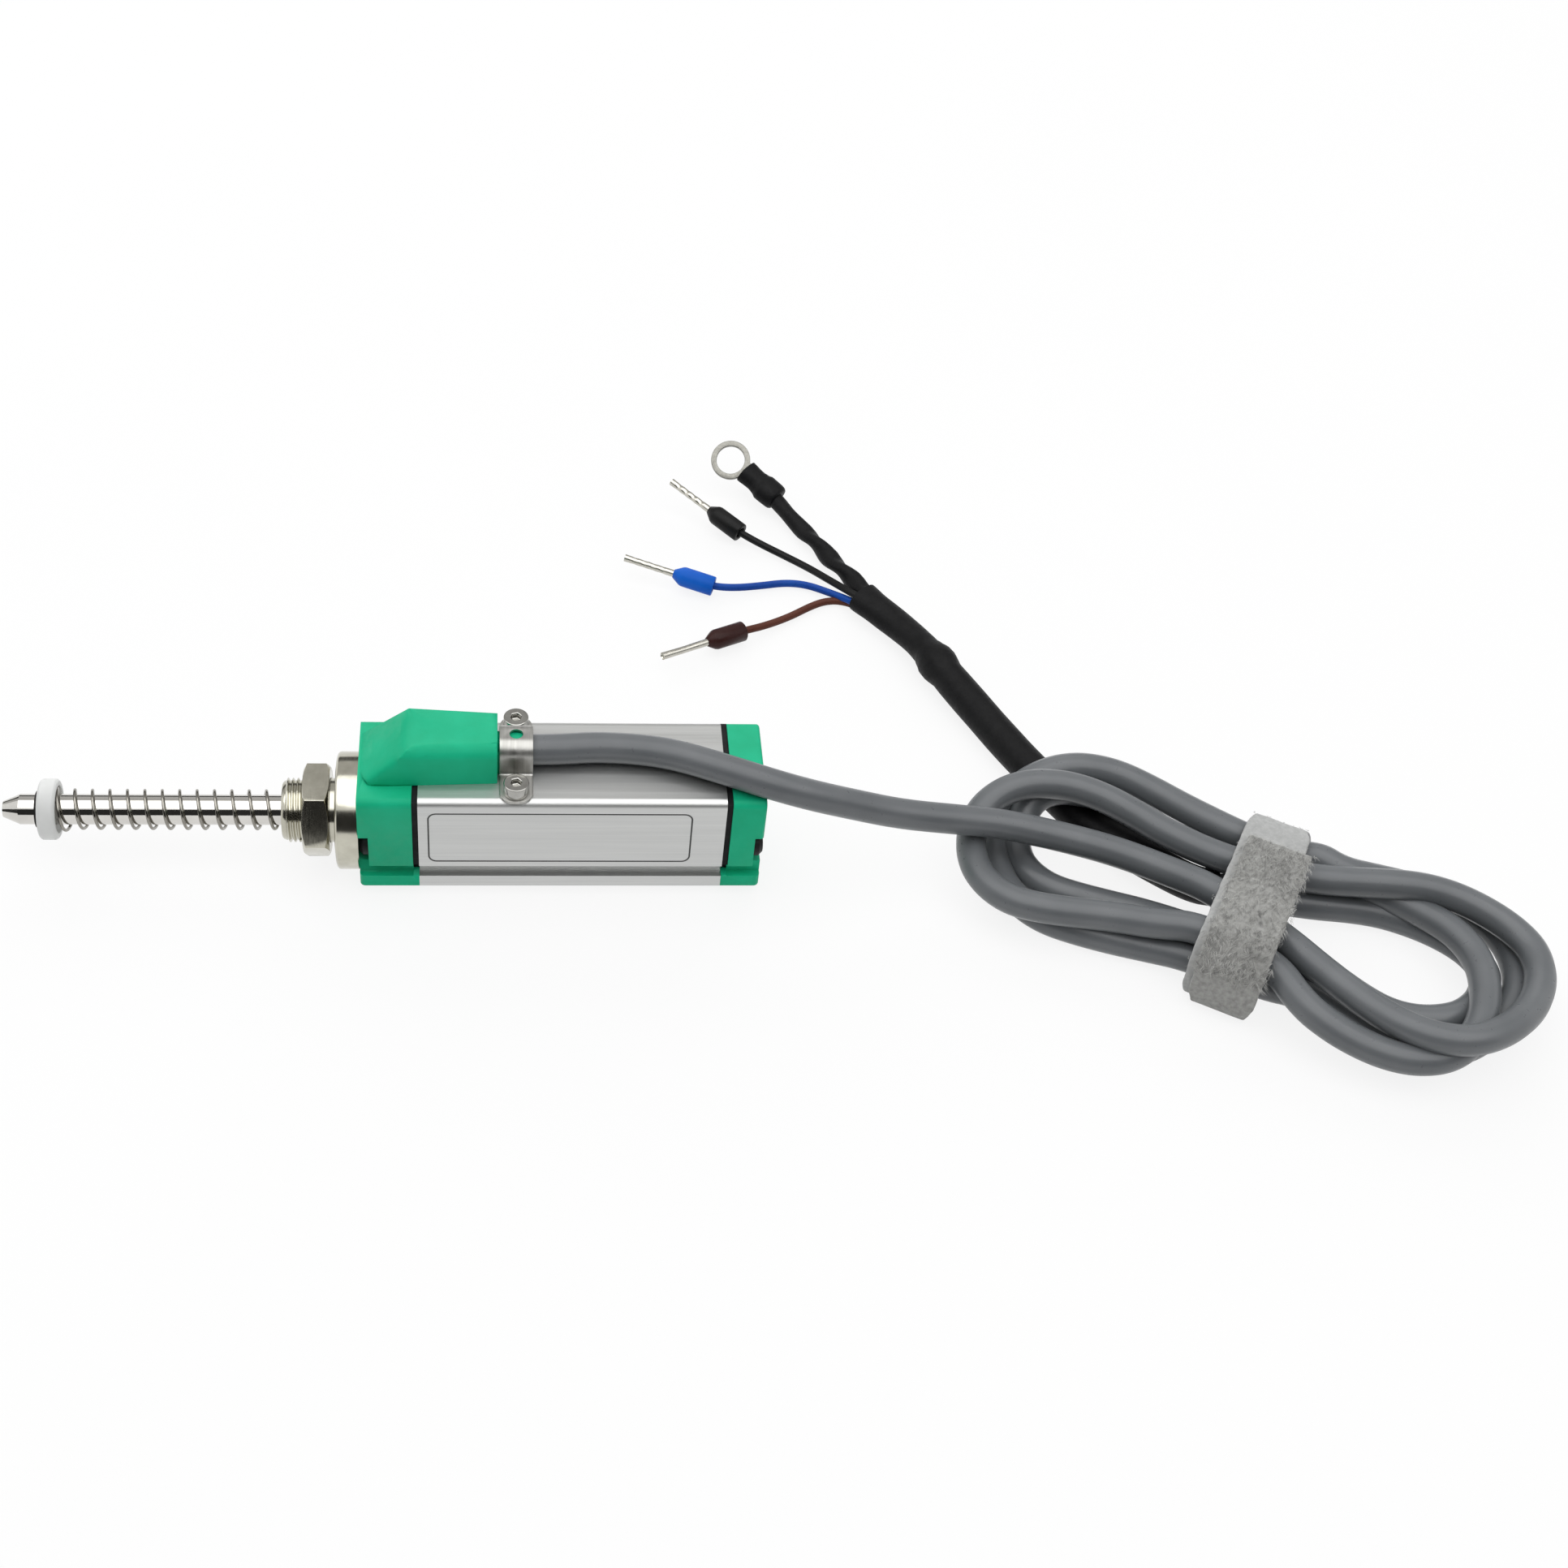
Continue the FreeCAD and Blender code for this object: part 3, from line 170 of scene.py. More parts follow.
def rubbery(name, dark, light, smooth=0.55, rough=0.72, crease=0.02):
    """Matt rubber or shrink tube, creased by about crease millimetres."""
    made = Finish(name, Specular_IOR_Level=0.13)
    made.tint(made.grain(1.8 * MM), dark, light)
    made.gloss(made.grain(0.7 * MM), smooth, rough)
    return made.raise_by(made.grain(0.45 * MM, 4.0), crease * MM, 0.5)


def jacket_finish():
    """The cable's jacket: smooth plastic that is slightly uneven along its length."""
    made = Finish("grey_cable_jacket", Specular_IOR_Level=0.46)
    made.tint(made.grain(9.0 * MM, 2.0), (0.122, 0.131, 0.139), (0.150, 0.159, 0.167))
    made.gloss(made.grain(0.9 * MM), 0.27, 0.38)
    made.raise_by(made.grain(3.2 * MM, 2.0), 0.05 * MM, 0.5)
    return made.raise_by(made.grain(0.12 * MM, 2.0), 0.004 * MM, 0.4)


def felt_finish(name, dark, light, tuft):
    """Felt: soft patches of shade over matted fibres, raised by about tuft millimetres."""
    made = Finish(
        name, Roughness=0.95, Sheen_Weight=0.30, Sheen_Roughness=0.6, Specular_IOR_Level=0.10
    )
    made.tint(made.grain(0.7 * MM, 4.0), dark, light)
    made.raise_by(made.grain(0.9 * MM, 4.0), tuft * MM, 0.9)
    return made.raise_by(made.cells(0.22 * MM, stretch=(1, 0.5, 1)), tuft * 0.25 * MM, 0.7)


def rod_finish():
    """Polished steel with hair-fine lines along the rod."""
    made = Finish("polished_rod_steel", Metallic=1.0)
    made.tint(made.grain(6.0 * MM), (0.60, 0.585, 0.555), (0.70, 0.685, 0.655))
    made.gloss(made.grain(0.06 * MM, 2.0, stretch=(0.02, 1, 1)), 0.05, 0.11)
    return made.raise_by(made.grain(0.05 * MM, 2.0, stretch=(0.02, 1, 1)), 0.0001 * MM, 0.4)


FINISH = {
    "green_plastic": moulded("green_moulded_cap", (0.006, 0.430, 0.218), (0.009, 0.490, 0.258)),
    "anodised_aluminium": drawn_metal(
        "satin_anodised_profile", (0.535, 0.54, 0.535), (0.60, 0.605, 0.595), 0.36, 0.46, (0.015, 1, 1)
    ),
    "black_rubber": rubbery("black_gasket_rubber", (0.008, 0.008, 0.009), (0.016, 0.016, 0.017)),
    "black_steel": moulded(
        "blackened_screw_steel", (0.012, 0.012, 0.013), (0.022, 0.021, 0.021), 0.32, 0.48
    ),
    "nickel_plate": turned_metal(
        "nickel_plated_brass", (0.47, 0.455, 0.385), (0.57, 0.555, 0.475), 0.12, 0.21
    ),
    "rod_steel": rod_finish(),
    "spring_steel": drawn_metal(
        "spring_wire", (0.23, 0.22, 0.195), (0.32, 0.305, 0.275), 0.12, 0.22, (1, 1, 1), 0.0006
    ),
    "bearing_bronze": turned_metal("sintered_bronze", (0.36, 0.22, 0.10), (0.48, 0.31, 0.15), 0.35, 0.5),
    "white_plastic": moulded(
        "white_turned_acetal", (0.70, 0.71, 0.70), (0.78, 0.79, 0.78), 0.30, 0.42, 0.3
    ),
    "carriage_plastic": moulded("black_carriage_plastic", (0.015, 0.015, 0.016), (0.025, 0.025, 0.026)),
    "contact_alloy": drawn_metal(
        "wiper_alloy", (0.72, 0.62, 0.40), (0.82, 0.72, 0.50), 0.2, 0.32, (0.1, 1, 1)
    ),
    "strip_board": moulded("strip_board", (0.10, 0.075, 0.03), (0.14, 0.105, 0.045)),
    "track_ink": rubbery(
        "conductive_track_ink", (0.010, 0.010, 0.011), (0.018, 0.018, 0.018), 0.4, 0.55, 0.004
    ),
    "wire_plastic": moulded("wire_insulation", (0.30, 0.02, 0.015), (0.38, 0.03, 0.02)),
    "stainless_strip": drawn_metal(
        "stainless_clip", (0.34, 0.335, 0.315), (0.46, 0.455, 0.435), 0.32, 0.46, (1, 0.06, 0.06)
    ),
    "cable_jacket": jacket_finish(),
    "strap_felt": felt_finish("grey_brushed_felt", (0.25, 0.25, 0.238), (0.39, 0.39, 0.376), 0.16),
    "shrink_sleeve": rubbery(
        "black_shrink_sleeve", (0.004, 0.004, 0.0045), (0.0075, 0.0075, 0.008), 0.42, 0.60, 0.05
    ),
    "black_insulation": moulded(
        "black_ferrule_plastic", (0.007, 0.007, 0.007), (0.013, 0.013, 0.013), 0.3, 0.42
    ),
    "blue_insulation": moulded(
        "blue_ferrule_plastic", (0.004, 0.095, 0.520), (0.008, 0.130, 0.620), 0.32, 0.45
    ),
    "brown_insulation": moulded(
        "brown_ferrule_plastic", (0.030, 0.010, 0.009), (0.046, 0.016, 0.014), 0.26, 0.4
    ),
    "tinned_copper": drawn_metal(
        "tinned_copper", (0.46, 0.445, 0.395), (0.60, 0.585, 0.53), 0.18, 0.34, (1, 1, 1), 0.004
    ),
}
BROWN_WIRE = moulded("brown_wire_insulation", (0.085, 0.026, 0.016), (0.120, 0.040, 0.026), 0.35, 0.5)
BLUE_WIRE = moulded("blue_wire_insulation", (0.006, 0.050, 0.300), (0.010, 0.080, 0.400), 0.35, 0.5)
RING_TIN = drawn_metal(
    "tinned_ring", (0.18, 0.176, 0.158), (0.26, 0.255, 0.232), 0.26, 0.40, (1, 1, 1), 0.003
)
SCREW_STEEL = turned_metal("stainless_screw", (0.34, 0.335, 0.315), (0.46, 0.455, 0.43), 0.08, 0.16)
STRAP_BACK = felt_finish("pale_strap_back", (0.37, 0.375, 0.37), (0.47, 0.475, 0.47), 0.05)
LIGHT_FIBRE = moulded("light_felt_fibre", (0.40, 0.40, 0.385), (0.54, 0.54, 0.52), 0.7, 0.9)
DARK_FIBRE = moulded("dark_felt_fibre", (0.20, 0.20, 0.193), (0.31, 0.31, 0.30), 0.7, 0.9)
ENGRAVED = moulded("engraved_line", (0.060, 0.060, 0.060), (0.100, 0.100, 0.098), 0.5, 0.65)

SLOT_OF = {part["node"]: part["material_slot"] for part in frame["record"]["subparts"]}
for node, cad_piece in frame["nodes"].items():
    cad_piece.data.materials.clear()
    cad_piece.data.materials.append(FINISH[SLOT_OF[node]].material)


# Making pieces.

def linked(name, data):
    """A new object in the scene."""
    made = bpy.data.objects.new(name, data)
    bpy.context.scene.collection.objects.link(made)
    return made


def shown(name, shape, body, slot=None, finish=None):
    """Puts a mesh or curve in the scene as a piece that rides on a body."""
    piece = linked(name, shape)
    shape.materials.clear()
    shape.materials.append((finish or FINISH[slot]).material)
    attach(piece, body)
    return piece


def mesh_from(name, bm):
    mesh = bpy.data.meshes.new(name)
    bm.to_mesh(mesh)
    bm.free()
    return mesh


def from_bmesh(name, bm, body, slot=None, finish=None, sharp=35):
    """A piece from a bmesh, shaded smooth apart from edges sharper than an angle in degrees."""
    mesh = mesh_from(name, bm)
    mesh.shade_smooth()
    mesh.set_sharp_from_angle(angle=math.radians(sharp))
    return shown(name, mesh, body, slot, finish)


def soften(bm, width, sharp, segments=3, leave=None):
    """Rounds edges sharper than an angle in degrees, apart from those that leave(edge) picks."""
    edges = [e for e in bm.edges if e.is_manifold and e.calc_face_angle(0) > math.radians(sharp)]
    if leave:
        edges = [e for e in edges if not leave(e)]
    bmesh.ops.bevel(
        bm, geom=edges, offset=width, offset_type="OFFSET", segments=segments, profile=0.5,
        affect="EDGES", clamp_overlap=True, material=-1,
    )


# The crease between the hood's slope and its near side: its line, how near to it an edge counts as the
# crease, and how far from it the skin and the rim at the hood's foot are smoothed, all in millimetres.
HOOD_CREASE = [mm(3.8, -5.6, 10.8), mm(9.2, -5.0, 15.44), mm(11.25, -3.3, 17.15)]
CREASE_EDGE, SKIN_REACH, RIM_REACH = 0.35, 2.9, 2.6
NET_END_X, NET_END_Y, RIM_END_Y, ON_RIM = 12.4, -0.4, -5.9, 0.005
NET_STEP, SMOOTH_ROUNDS = 0.42, 30
# The net's cuts: axis, place of the first and how many.
NET_CUTS = ((0, 3.95, 20), (1, -5.55, 12), (2, 11.05, 15))


def from_crease(vert):
    """How far a vertex is from the hood's crease, in millimetres."""
    gaps = []
    for start, end in zip(HOOD_CREASE, HOOD_CREASE[1:]):
        share = intersect_point_line(vert.co, start, end)[1]
        gaps.append((vert.co - start.lerp(end, min(max(share, 0.0), 1.0))).length)
    return min(gaps) / MM


def on_crease(edge):
    return all(from_crease(v) < CREASE_EDGE for v in edge.verts)


def ease_crease(bm):
    """Rounds the hood's crease: the skin near it is cut into a fine net, which is then smoothed."""
    base = HOOD_CREASE[0].z

    def above(vert):
        return vert.co.z > base + ON_RIM * MM

    def to_cut(vert):
        return vert.co.x < NET_END_X * MM and vert.co.y < NET_END_Y * MM and above(vert)

    for axis, first, cuts in NET_CUTS:
        way = Vector([float(k == axis) for k in range(3)])
        for k in range(cuts):
            # Faces that look to the rear stay whole.
            skin = [f for f in bm.faces if f.normal.x < 0.5 and any(to_cut(v) for v in f.verts)]
            parts = [*skin, *(e for f in skin for e in f.edges), *(v for f in skin for v in f.verts)]
            at = way * (first + NET_STEP * k) * MM
            bmesh.ops.bisect_plane(
                bm, geom=list(dict.fromkeys(parts)), dist=0.02 * MM, plane_co=at, plane_no=way
            )
    net = [v for v in bm.verts if from_crease(v) < SKIN_REACH and above(v)]
    rim = [
        v for v in bm.verts
        if from_crease(v) < RIM_REACH and abs(v.co.z - base) < ON_RIM * MM and v.co.y > RIM_END_Y * MM
    ]
    for _ in range(SMOOTH_ROUNDS):
        bmesh.ops.smooth_vert(bm, verts=net, factor=0.5, use_axis_x=True, use_axis_y=True, use_axis_z=True)
        bmesh.ops.smooth_vert(bm, verts=rim, factor=0.5, use_axis_x=True, use_axis_y=True)
    bmesh.ops.dissolve_degenerate(bm, dist=0.004 * MM, edges=bm.edges)


def softened(node, width, sharp=28, finish=None, leave=None, shape=None):
    """A copy of a CAD piece with its sharp edges rounded, kept within its box, which stands for it."""
    source = frame["nodes"][node]
    bm = bmesh.new()
    bm.from_mesh(source.data)
    bmesh.ops.remove_doubles(bm, verts=bm.verts, dist=0.002 * MM)
    bmesh.ops.dissolve_limit(bm, angle_limit=math.radians(0.4), verts=bm.verts, edges=bm.edges)
    soften(bm, width, sharp, leave=leave)
    if shape:
        shape(bm)
    low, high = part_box(node)
    for vert in bm.verts:
        vert.co = [min(max(at, least), most) for at, least, most in zip(vert.co, low, high)]
    piece = from_bmesh(f"{node}_softened", bm, source["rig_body"], SLOT_OF[node], finish)
    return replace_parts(piece, node)


def spun(bm, profile, steps):
    """Adds a full turn about the X axis of a profile of (x, radius) in millimetres."""
    verts = [bm.verts.new(mm(x, radius, 0)) for x, radius in profile]
    edges = [bm.edges.new(pair) for pair in zip(verts, verts[1:])]
    bmesh.ops.spin(
        bm, geom=verts + edges, cent=(0, 0, 0), axis=ROD_AXIS, angle=math.tau, steps=steps, use_merge=True,
    )
    bmesh.ops.remove_doubles(bm, verts=bm.verts, dist=0.001 * MM)
    bmesh.ops.recalc_face_normals(bm, faces=bm.faces)


def route_curve(name, points, diameter):
    """A cord on one NURBS spline with the route's points, in millimetres, as its control points."""
    curve = bpy.data.curves.new(name, "CURVE")
    curve.dimensions = "3D"
    spline = curve.splines.new("NURBS")
    spline.points.add(len(points) - 1)
    for control, point in zip(spline.points, points):
        control.co = (*mm(*point), 1)
    spline.order_u = 3
    spline.use_endpoint_u = True
    spline.resolution_u = 10
    curve.bevel_depth = diameter / 2 * MM
    curve.bevel_resolution = 6
    curve.use_fill_caps = True
    return curve


def mesh_of(curve):
    """The mesh that a curve makes, in place of the curve."""
    holder = bpy.data.objects.new(curve.name, curve)
    mesh = bpy.data.meshes.new_from_object(holder)
    bpy.data.objects.remove(holder)
    bpy.data.curves.remove(curve)
    return mesh


def route_line(points):
    """Points read from the NURBS spline of a route."""
    mesh = mesh_of(route_curve("route", points, 0))
    line = [v.co.copy() for v in mesh.vertices]
    bpy.data.meshes.remove(mesh)
    return line


def along(line, spacing):
    """A line divided into equal steps, with the way that each step heads."""
    lengths = [(b - a).length for a, b in zip(line, line[1:])]
    total = sum(lengths)
    count = max(2, round(total / spacing))
    stations, walked, k = [], 0.0, 0
    for step in range(count + 1):
        want = min(total * step / count, total - 1e-9)
        while walked + lengths[k] < want:
            walked += lengths[k]
            k += 1
        stations.append(line[k].lerp(line[k + 1], (want - walked) / lengths[k]))
    headings = [
        (stations[min(k + 1, count)] - stations[max(k - 1, 0)]).normalized() for k in range(count + 1)
    ]
    return stations, headings


def sleeve_mesh(line, spacing, around, radius_at):
    """A closed tube of rings along a line; radius_at(share, angle, place) is in metres."""
    stations, headings = along(line, spacing)
    bm = bmesh.new()
    upright = Vector((0, 0, 1))
    rings = []
    for k, (place, heading) in enumerate(zip(stations, headings)):
        side = heading.cross(upright).normalized()
        crown = side.cross(heading).normalized()
        turn = Matrix((side, crown, -heading)).transposed().to_4x4()
        made = bmesh.ops.create_circle(bm, segments=around, radius=1.0, matrix=Matrix.Identity(4))
        for vert in made["verts"]:
            angle = math.atan2(vert.co.y, vert.co.x)
            vert.co = turn @ (vert.co * radius_at(k / (len(stations) - 1), angle, place)) + place
        rings.append(made["verts"])
    loops = [list(dict.fromkeys(e for v in ring for e in v.link_edges)) for ring in rings]
    for before, after in zip(loops, loops[1:]):
        bmesh.ops.bridge_loops(bm, edges=before + after)
    for loop in (loops[0], loops[-1]):
        bmesh.ops.edgeloop_fill(bm, edges=loop)
    bmesh.ops.recalc_face_normals(bm, faces=bm.faces)
    return bm


def steps_between(share, *rows):
    """A value that goes smoothly through (share, value) rows."""
    for (start, low), (end, high) in zip(rows, rows[1:]):
        if share <= end:
            t = min(1.0, max(0.0, (share - start) / (end - start)))
            return low + (high - low) * t * t * (3 - 2 * t)
    return rows[-1][1]


# Camera: the photograph's own place, above the near side of the body.

lens = bpy.data.cameras.new("photo_camera")
lens.lens = 52.454
lens.sensor_width = 36.0
lens.shift_x = 0.07
lens.clip_start = 0.01
camera = linked("photo_camera", lens)
camera_place = mm(24.549, -243.783, 254.002)
camera_turn = Matrix((
    (0.997072, -0.003997, -0.076367),
    (-0.050672, 0.713398, -0.698924),
    (0.057274, 0.700747, 0.711107),
))
camera.matrix_world = Matrix.Translation(camera_place) @ camera_turn.to_4x4()
bpy.context.scene.camera = camera


# The cable: out of the hood, over the body, through the tied hank and on to its end in the shrink sleeve.
# CORE_RUN carries the sleeve's line on over the wires.

LEAD_RUN = [
    (12.6, 0.0, 13.2), (24.0, 0.0, 13.2), (33.0, 0.0, 13.2), (39.7, 0.7, 13.2), (49.4, -0.3, 13.2),
    (58.9, -4.5, 13.4), (64.8, -7.0, 13.2), (71.1, -7.4, 11.2), (77.6, -6.4, 8.3), (85.6, -5.5, 5.2),
    (94.8, -4.6, 3.1), (102.0, -4.1, 1.7), (111.0, -5.5, 0.4), (119.6, -8.0, -0.3), (127.7, -12.1, -0.7),
    (133.5, -15.6, -0.7), (141.9, -25.2, -0.7),
]
TOP_LOOP = [
    (147.0, -32.4, -0.9), (152.4, -39.3, -0.7), (157.0, -43.7, -0.1), (161.8, -45.7, 0.2),
    (166.8, -45.2, -0.1), (172.5, -42.1, -1.0), (177.4, -37.4, -1.9), (180.4, -31.9, -2.3),
    (180.9, -26.9, -2.3), (179.3, -23.2, -2.1), (176.1, -19.9, -1.6), (171.6, -17.0, -1.0),
    (166.8, -15.4, -0.5), (161.9, -14.7, -0.4), (157.2, -14.3, -0.5), (148.6, -13.4, -0.7),
    (137.3, -9.9, -0.7),
]
TOP_BEND = [
    (128.6, -4.4, -0.4), (124.1, -0.7, 0.2), (119.6, 2.0, 1.1), (115.5, 3.6, 1.7), (111.8, 4.5, 1.8),
    (107.6, 4.8, 1.5), (103.6, 3.9, 0.7), (100.2, 1.7, -0.5), (98.2, -1.8, -1.7), (97.4, -5.9, -2.4),
    (97.9, -10.2, -2.6), (99.6, -13.5, -2.6), (102.2, -16.0, -2.6), (105.7, -17.4, -2.6),
    (110.5, -18.5, -2.5), (117.1, -19.6, -2.3), (123.5, -21.7, -1.6), (129.5, -22.9, -0.9),
    (139.2, -30.1, -0.7),
]
MIDDLE_LOOP = [
    (142.3, -37.1, -1.9), (145.9, -40.6, -2.8), (149.5, -43.3, -3.2), (153.2, -45.4, -3.3),
    (157.2, -46.5, -3.3), (161.2, -46.2, -3.3), (164.9, -44.4, -3.3), (167.9, -41.4, -3.3),
    (170.1, -37.7, -3.2), (171.5, -33.5, -3.1), (172.2, -29.2, -3.1), (171.5, -25.0, -3.1),
    (169.7, -21.6, -3.1), (167.0, -18.8, -3.2), (163.8, -15.7, -3.6), (160.0, -12.7, -4.4),
    (150.3, -9.9, -5.3), (146.3, -5.0, -3.3), (140.5, -4.0, -1.1),
]
OUTER_BEND = [
    (136.3, -0.2, -1.6), (132.5, 3.6, -2.2), (128.3, 7.3, -2.2), (124.0, 9.9, -1.7), (120.0, 10.9, -1.2),
    (116.4, 11.2, -1.1), (112.6, 10.8, -1.6), (108.9, 9.8, -3.0), (105.9, 7.8, -4.7), (103.7, 4.6, -6.1),
    (102.2, -0.2, -6.6), (102.1, -5.4, -6.6), (103.1, -10.1, -6.6), (105.4, -13.9, -6.6),
    (108.4, -16.6, -6.6), (112.2, -18.4, -6.6), (117.2, -20.3, -6.6), (123.2, -22.1, -6.6),
    (128.4, -24.9, -5.3), (138.9, -30.7, -5.3),
]
OUTER_LOOP = [
    (143.8, -31.2, -6.2), (148.5, -34.5, -6.6), (154.1, -39.6, -6.6), (160.1, -42.8, -6.6),
    (166.4, -42.1, -6.6), (171.5, -39.0, -6.6), (175.5, -35.5, -6.6), (178.4, -31.3, -6.6),
    (179.8, -26.4, -6.6), (179.5, -21.4, -6.6), (177.8, -17.3, -6.6), (174.8, -14.3, -6.3),
    (170.4, -12.3, -5.4), (165.2, -11.5, -4.1), (159.8, -11.5, -2.5), (154.8, -11.0, -1.5),
    (151.3, -8.0, -1.0), (144.8, -7.3, -2.8), (139.0, -5.5, -5.2),
]
INNER_BEND = [
    (131.9, -0.5, -5.8), (125.9, 3.5, -4.8), (121.4, 5.5, -3.2), (117.4, 6.0, -1.6), (113.9, 6.2, -1.2),
    (110.9, 6.1, -1.9), (108.8, 5.2, -3.2), (107.4, 3.3, -4.9), (106.0, 0.3, -6.2), (105.9, -3.5, -6.6),
    (107.2, -7.1, -6.6), (110.0, -10.1, -6.6), (114.3, -12.0, -6.6), (119.1, -13.7, -6.6),
    (123.9, -15.3, -6.6), (131.1, -19.9, -5.3), (141.5, -26.0, -5.3),
]
INNER_LOOP = [
    (149.5, -27.8, -6.2), (153.5, -32.1, -6.6), (157.3, -35.3, -6.6), (161.9, -36.6, -6.6),
    (166.9, -36.1, -6.6), (170.8, -34.0, -6.6), (173.6, -30.4, -6.6), (174.4, -26.9, -6.6),
    (173.2, -23.4, -6.6), (170.2, -20.1, -6.6), (165.6, -17.0, -6.6), (159.5, -14.5, -6.6),
    (147.8, -14.4, -5.3),
]
TAIL_RUN = [
    (136.0, -11.0, -5.3), (133.0, -10.2, -5.9), (127.3, -5.5, -6.1), (121.7, -0.4, -6.1),
    (117.2, 4.8, -6.1), (114.1, 10.0, -6.1), (110.3, 16.9, -6.1), (107.2, 23.0, -6.1),
    (104.0, 29.5, -5.9), (101.1, 35.2, -5.6), (98.7, 40.5, -5.4),
]
CORE_RUN = [(96.2, 46.1, -5.8), (93.6, 50.8, -6.3), (90.6, 54.6, -6.3), (87.9, 58.1, -6.2)]
CABLE_DIA = 4.7
CABLE_ROUTE = (
    LEAD_RUN + TOP_LOOP + TOP_BEND + MIDDLE_LOOP + OUTER_BEND + OUTER_LOOP
    + INNER_BEND + INNER_LOOP + TAIL_RUN
)
sensor_cable = shown(
    "sensor_cable", route_curve("sensor_cable", CABLE_ROUTE, CABLE_DIA), "housing", "cable_jacket"
)
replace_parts(sensor_cable, "cable_lead", "cable_hank")
cable_line = route_line(CABLE_ROUTE)


def line_length(line):
    return sum((b - a).length for a, b in zip(line, line[1:]))


def cut_line(line, keep):
    """The last keep metres of a line."""
    kept, left = [line[-1]], keep
    for before, after in zip(reversed(line[:-1]), reversed(line[1:])):
        step = (after - before).length
        if step >= left:
            kept.append(after.lerp(before, left / step))
            break
        kept.append(before)
        left -= step
    return kept[::-1]


# Shrink sleeve over the cable's end: a plain run, a swelling where the jacket ends, then a thinner run
# over the wires.

SLEEVE_LENGTH = 86.0


def sleeve_radius(share, angle, place):
    body = steps_between(
        share, (0.0, 2.95), (0.722, 2.95), (0.734, 3.24), (0.746, 3.38), (0.766, 3.32), (0.779, 3.02),
        (0.796, 2.64), (0.83, 2.52), (0.90, 2.56), (0.96, 2.62), (1.0, 2.70),
    )
    flat = steps_between(share, (0.0, 0.0), (0.78, 0.0), (0.95, 0.10), (1.0, 0.16))
    oval = 1 + flat * math.cos(2 * angle)
    lump = noise.noise(place * 190 + Vector((math.cos(angle), math.sin(angle), 0)) * 0.9)
    ripple = steps_between(share, (0.0, 0.02), (0.68, 0.04), (0.75, 0.26), (0.82, 0.12), (1.0, 0.12))
    return (body * oval + lump * ripple) * MM


sleeve_line = cut_line(route_line(INNER_LOOP + TAIL_RUN + CORE_RUN), SLEEVE_LENGTH * MM)
breakout_sleeve = from_bmesh(
    "breakout_sleeve", sleeve_mesh(sleeve_line, 0.8 * MM, 28, sleeve_radius),
    "housing", "shrink_sleeve", sharp=60,
)
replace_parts(breakout_sleeve, "cable_tail")


# Leads out of the sleeve, each with its crimped ferrule.

COLLAR_DIA, COLLAR_LENGTH, COLLAR_CONE = 3.5, 5.9, 1.5
COLLAR_BORE, COLLAR_BORE_DEPTH = 1.0, 2.2
PIN_DIA, PIN_LENGTH = 1.3, 9.1
LEADS = {
    "black": [
        (92.6, 52.2, -5.6), (87.0, 57.2, -5.3), (83.0, 62.7, -6.6), (79.7, 67.3, -7.6),
        (75.6, 71.2, -8.0), (71.3, 74.2, -7.7), (67.8, 76.4, -7.0),
    ],
    "blue": [
        (92.2, 51.8, -6.4), (87.2, 56.8, -6.6), (82.4, 61.2, -7.8), (78.8, 63.5, -8.1),
        (75.0, 64.0, -8.1), (70.5, 63.1, -8.1), (65.9, 62.0, -7.7), (62.0, 61.6, -7.1),
    ],
    "brown": [
        (92.0, 51.6, -7.2), (87.1, 57.6, -7.7), (84.2, 59.3, -8.1), (81.6, 59.2, -8.2),
        (78.9, 57.8, -8.2), (74.9, 54.9, -8.2), (70.4, 52.0, -7.7), (66.3, 49.9, -7.1),
    ],
}
LEAD_TIP = {"black": (56.0, 87.1, -4.2), "blue": (47.2, 66.7, -5.3), "brown": (50.8, 41.1, -5.6)}
LEAD_DIA = 1.3
LEAD_FINISH = {"black": None, "blue": BLUE_WIRE, "brown": BROWN_WIRE}
CRIMPS = {"black": (4, 0.20), "blue": (4, 0.18), "brown": (1, 0.07)}
CRIMP_START, CRIMP_END = 0.14, 0.90
LEAD_IN_COLLAR = 1.8


def seat_matrix(start, heading):
    """Places a piece that was turned about X with its back at the origin."""
    turn = ROD_AXIS.rotation_difference(heading).to_matrix().to_4x4()
    return Matrix.Translation(start) @ turn


def ferrule_collar(colour, seat):
    """A plastic collar with rounded lips, hollow where the wire enters and coned towards the pin."""
    rim, bore, nose = COLLAR_DIA / 2, COLLAR_BORE, PIN_DIA / 2
    deep, end = COLLAR_BORE_DEPTH, COLLAR_LENGTH + COLLAR_CONE
    profile = [
        (deep, 0.0), (deep, bore - 0.1), (0.15, bore), (0.0, bore + 0.12), (0.0, rim - 0.12), (0.12, rim),
        (COLLAR_LENGTH - 0.3, rim), (COLLAR_LENGTH + 0.15, rim - 0.14),
        (end, nose + 0.12), (end + 0.05, nose), (end + 0.05, 0.0),
    ]
    bm = bmesh.new()
    spun(bm, profile, 40)
    bmesh.ops.transform(bm, matrix=seat, verts=bm.verts)
    piece = from_bmesh(f"{colour}_ferrule_collar", bm, "housing", f"{colour}_insulation", sharp=50)
    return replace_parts(piece, f"{colour}_collar")


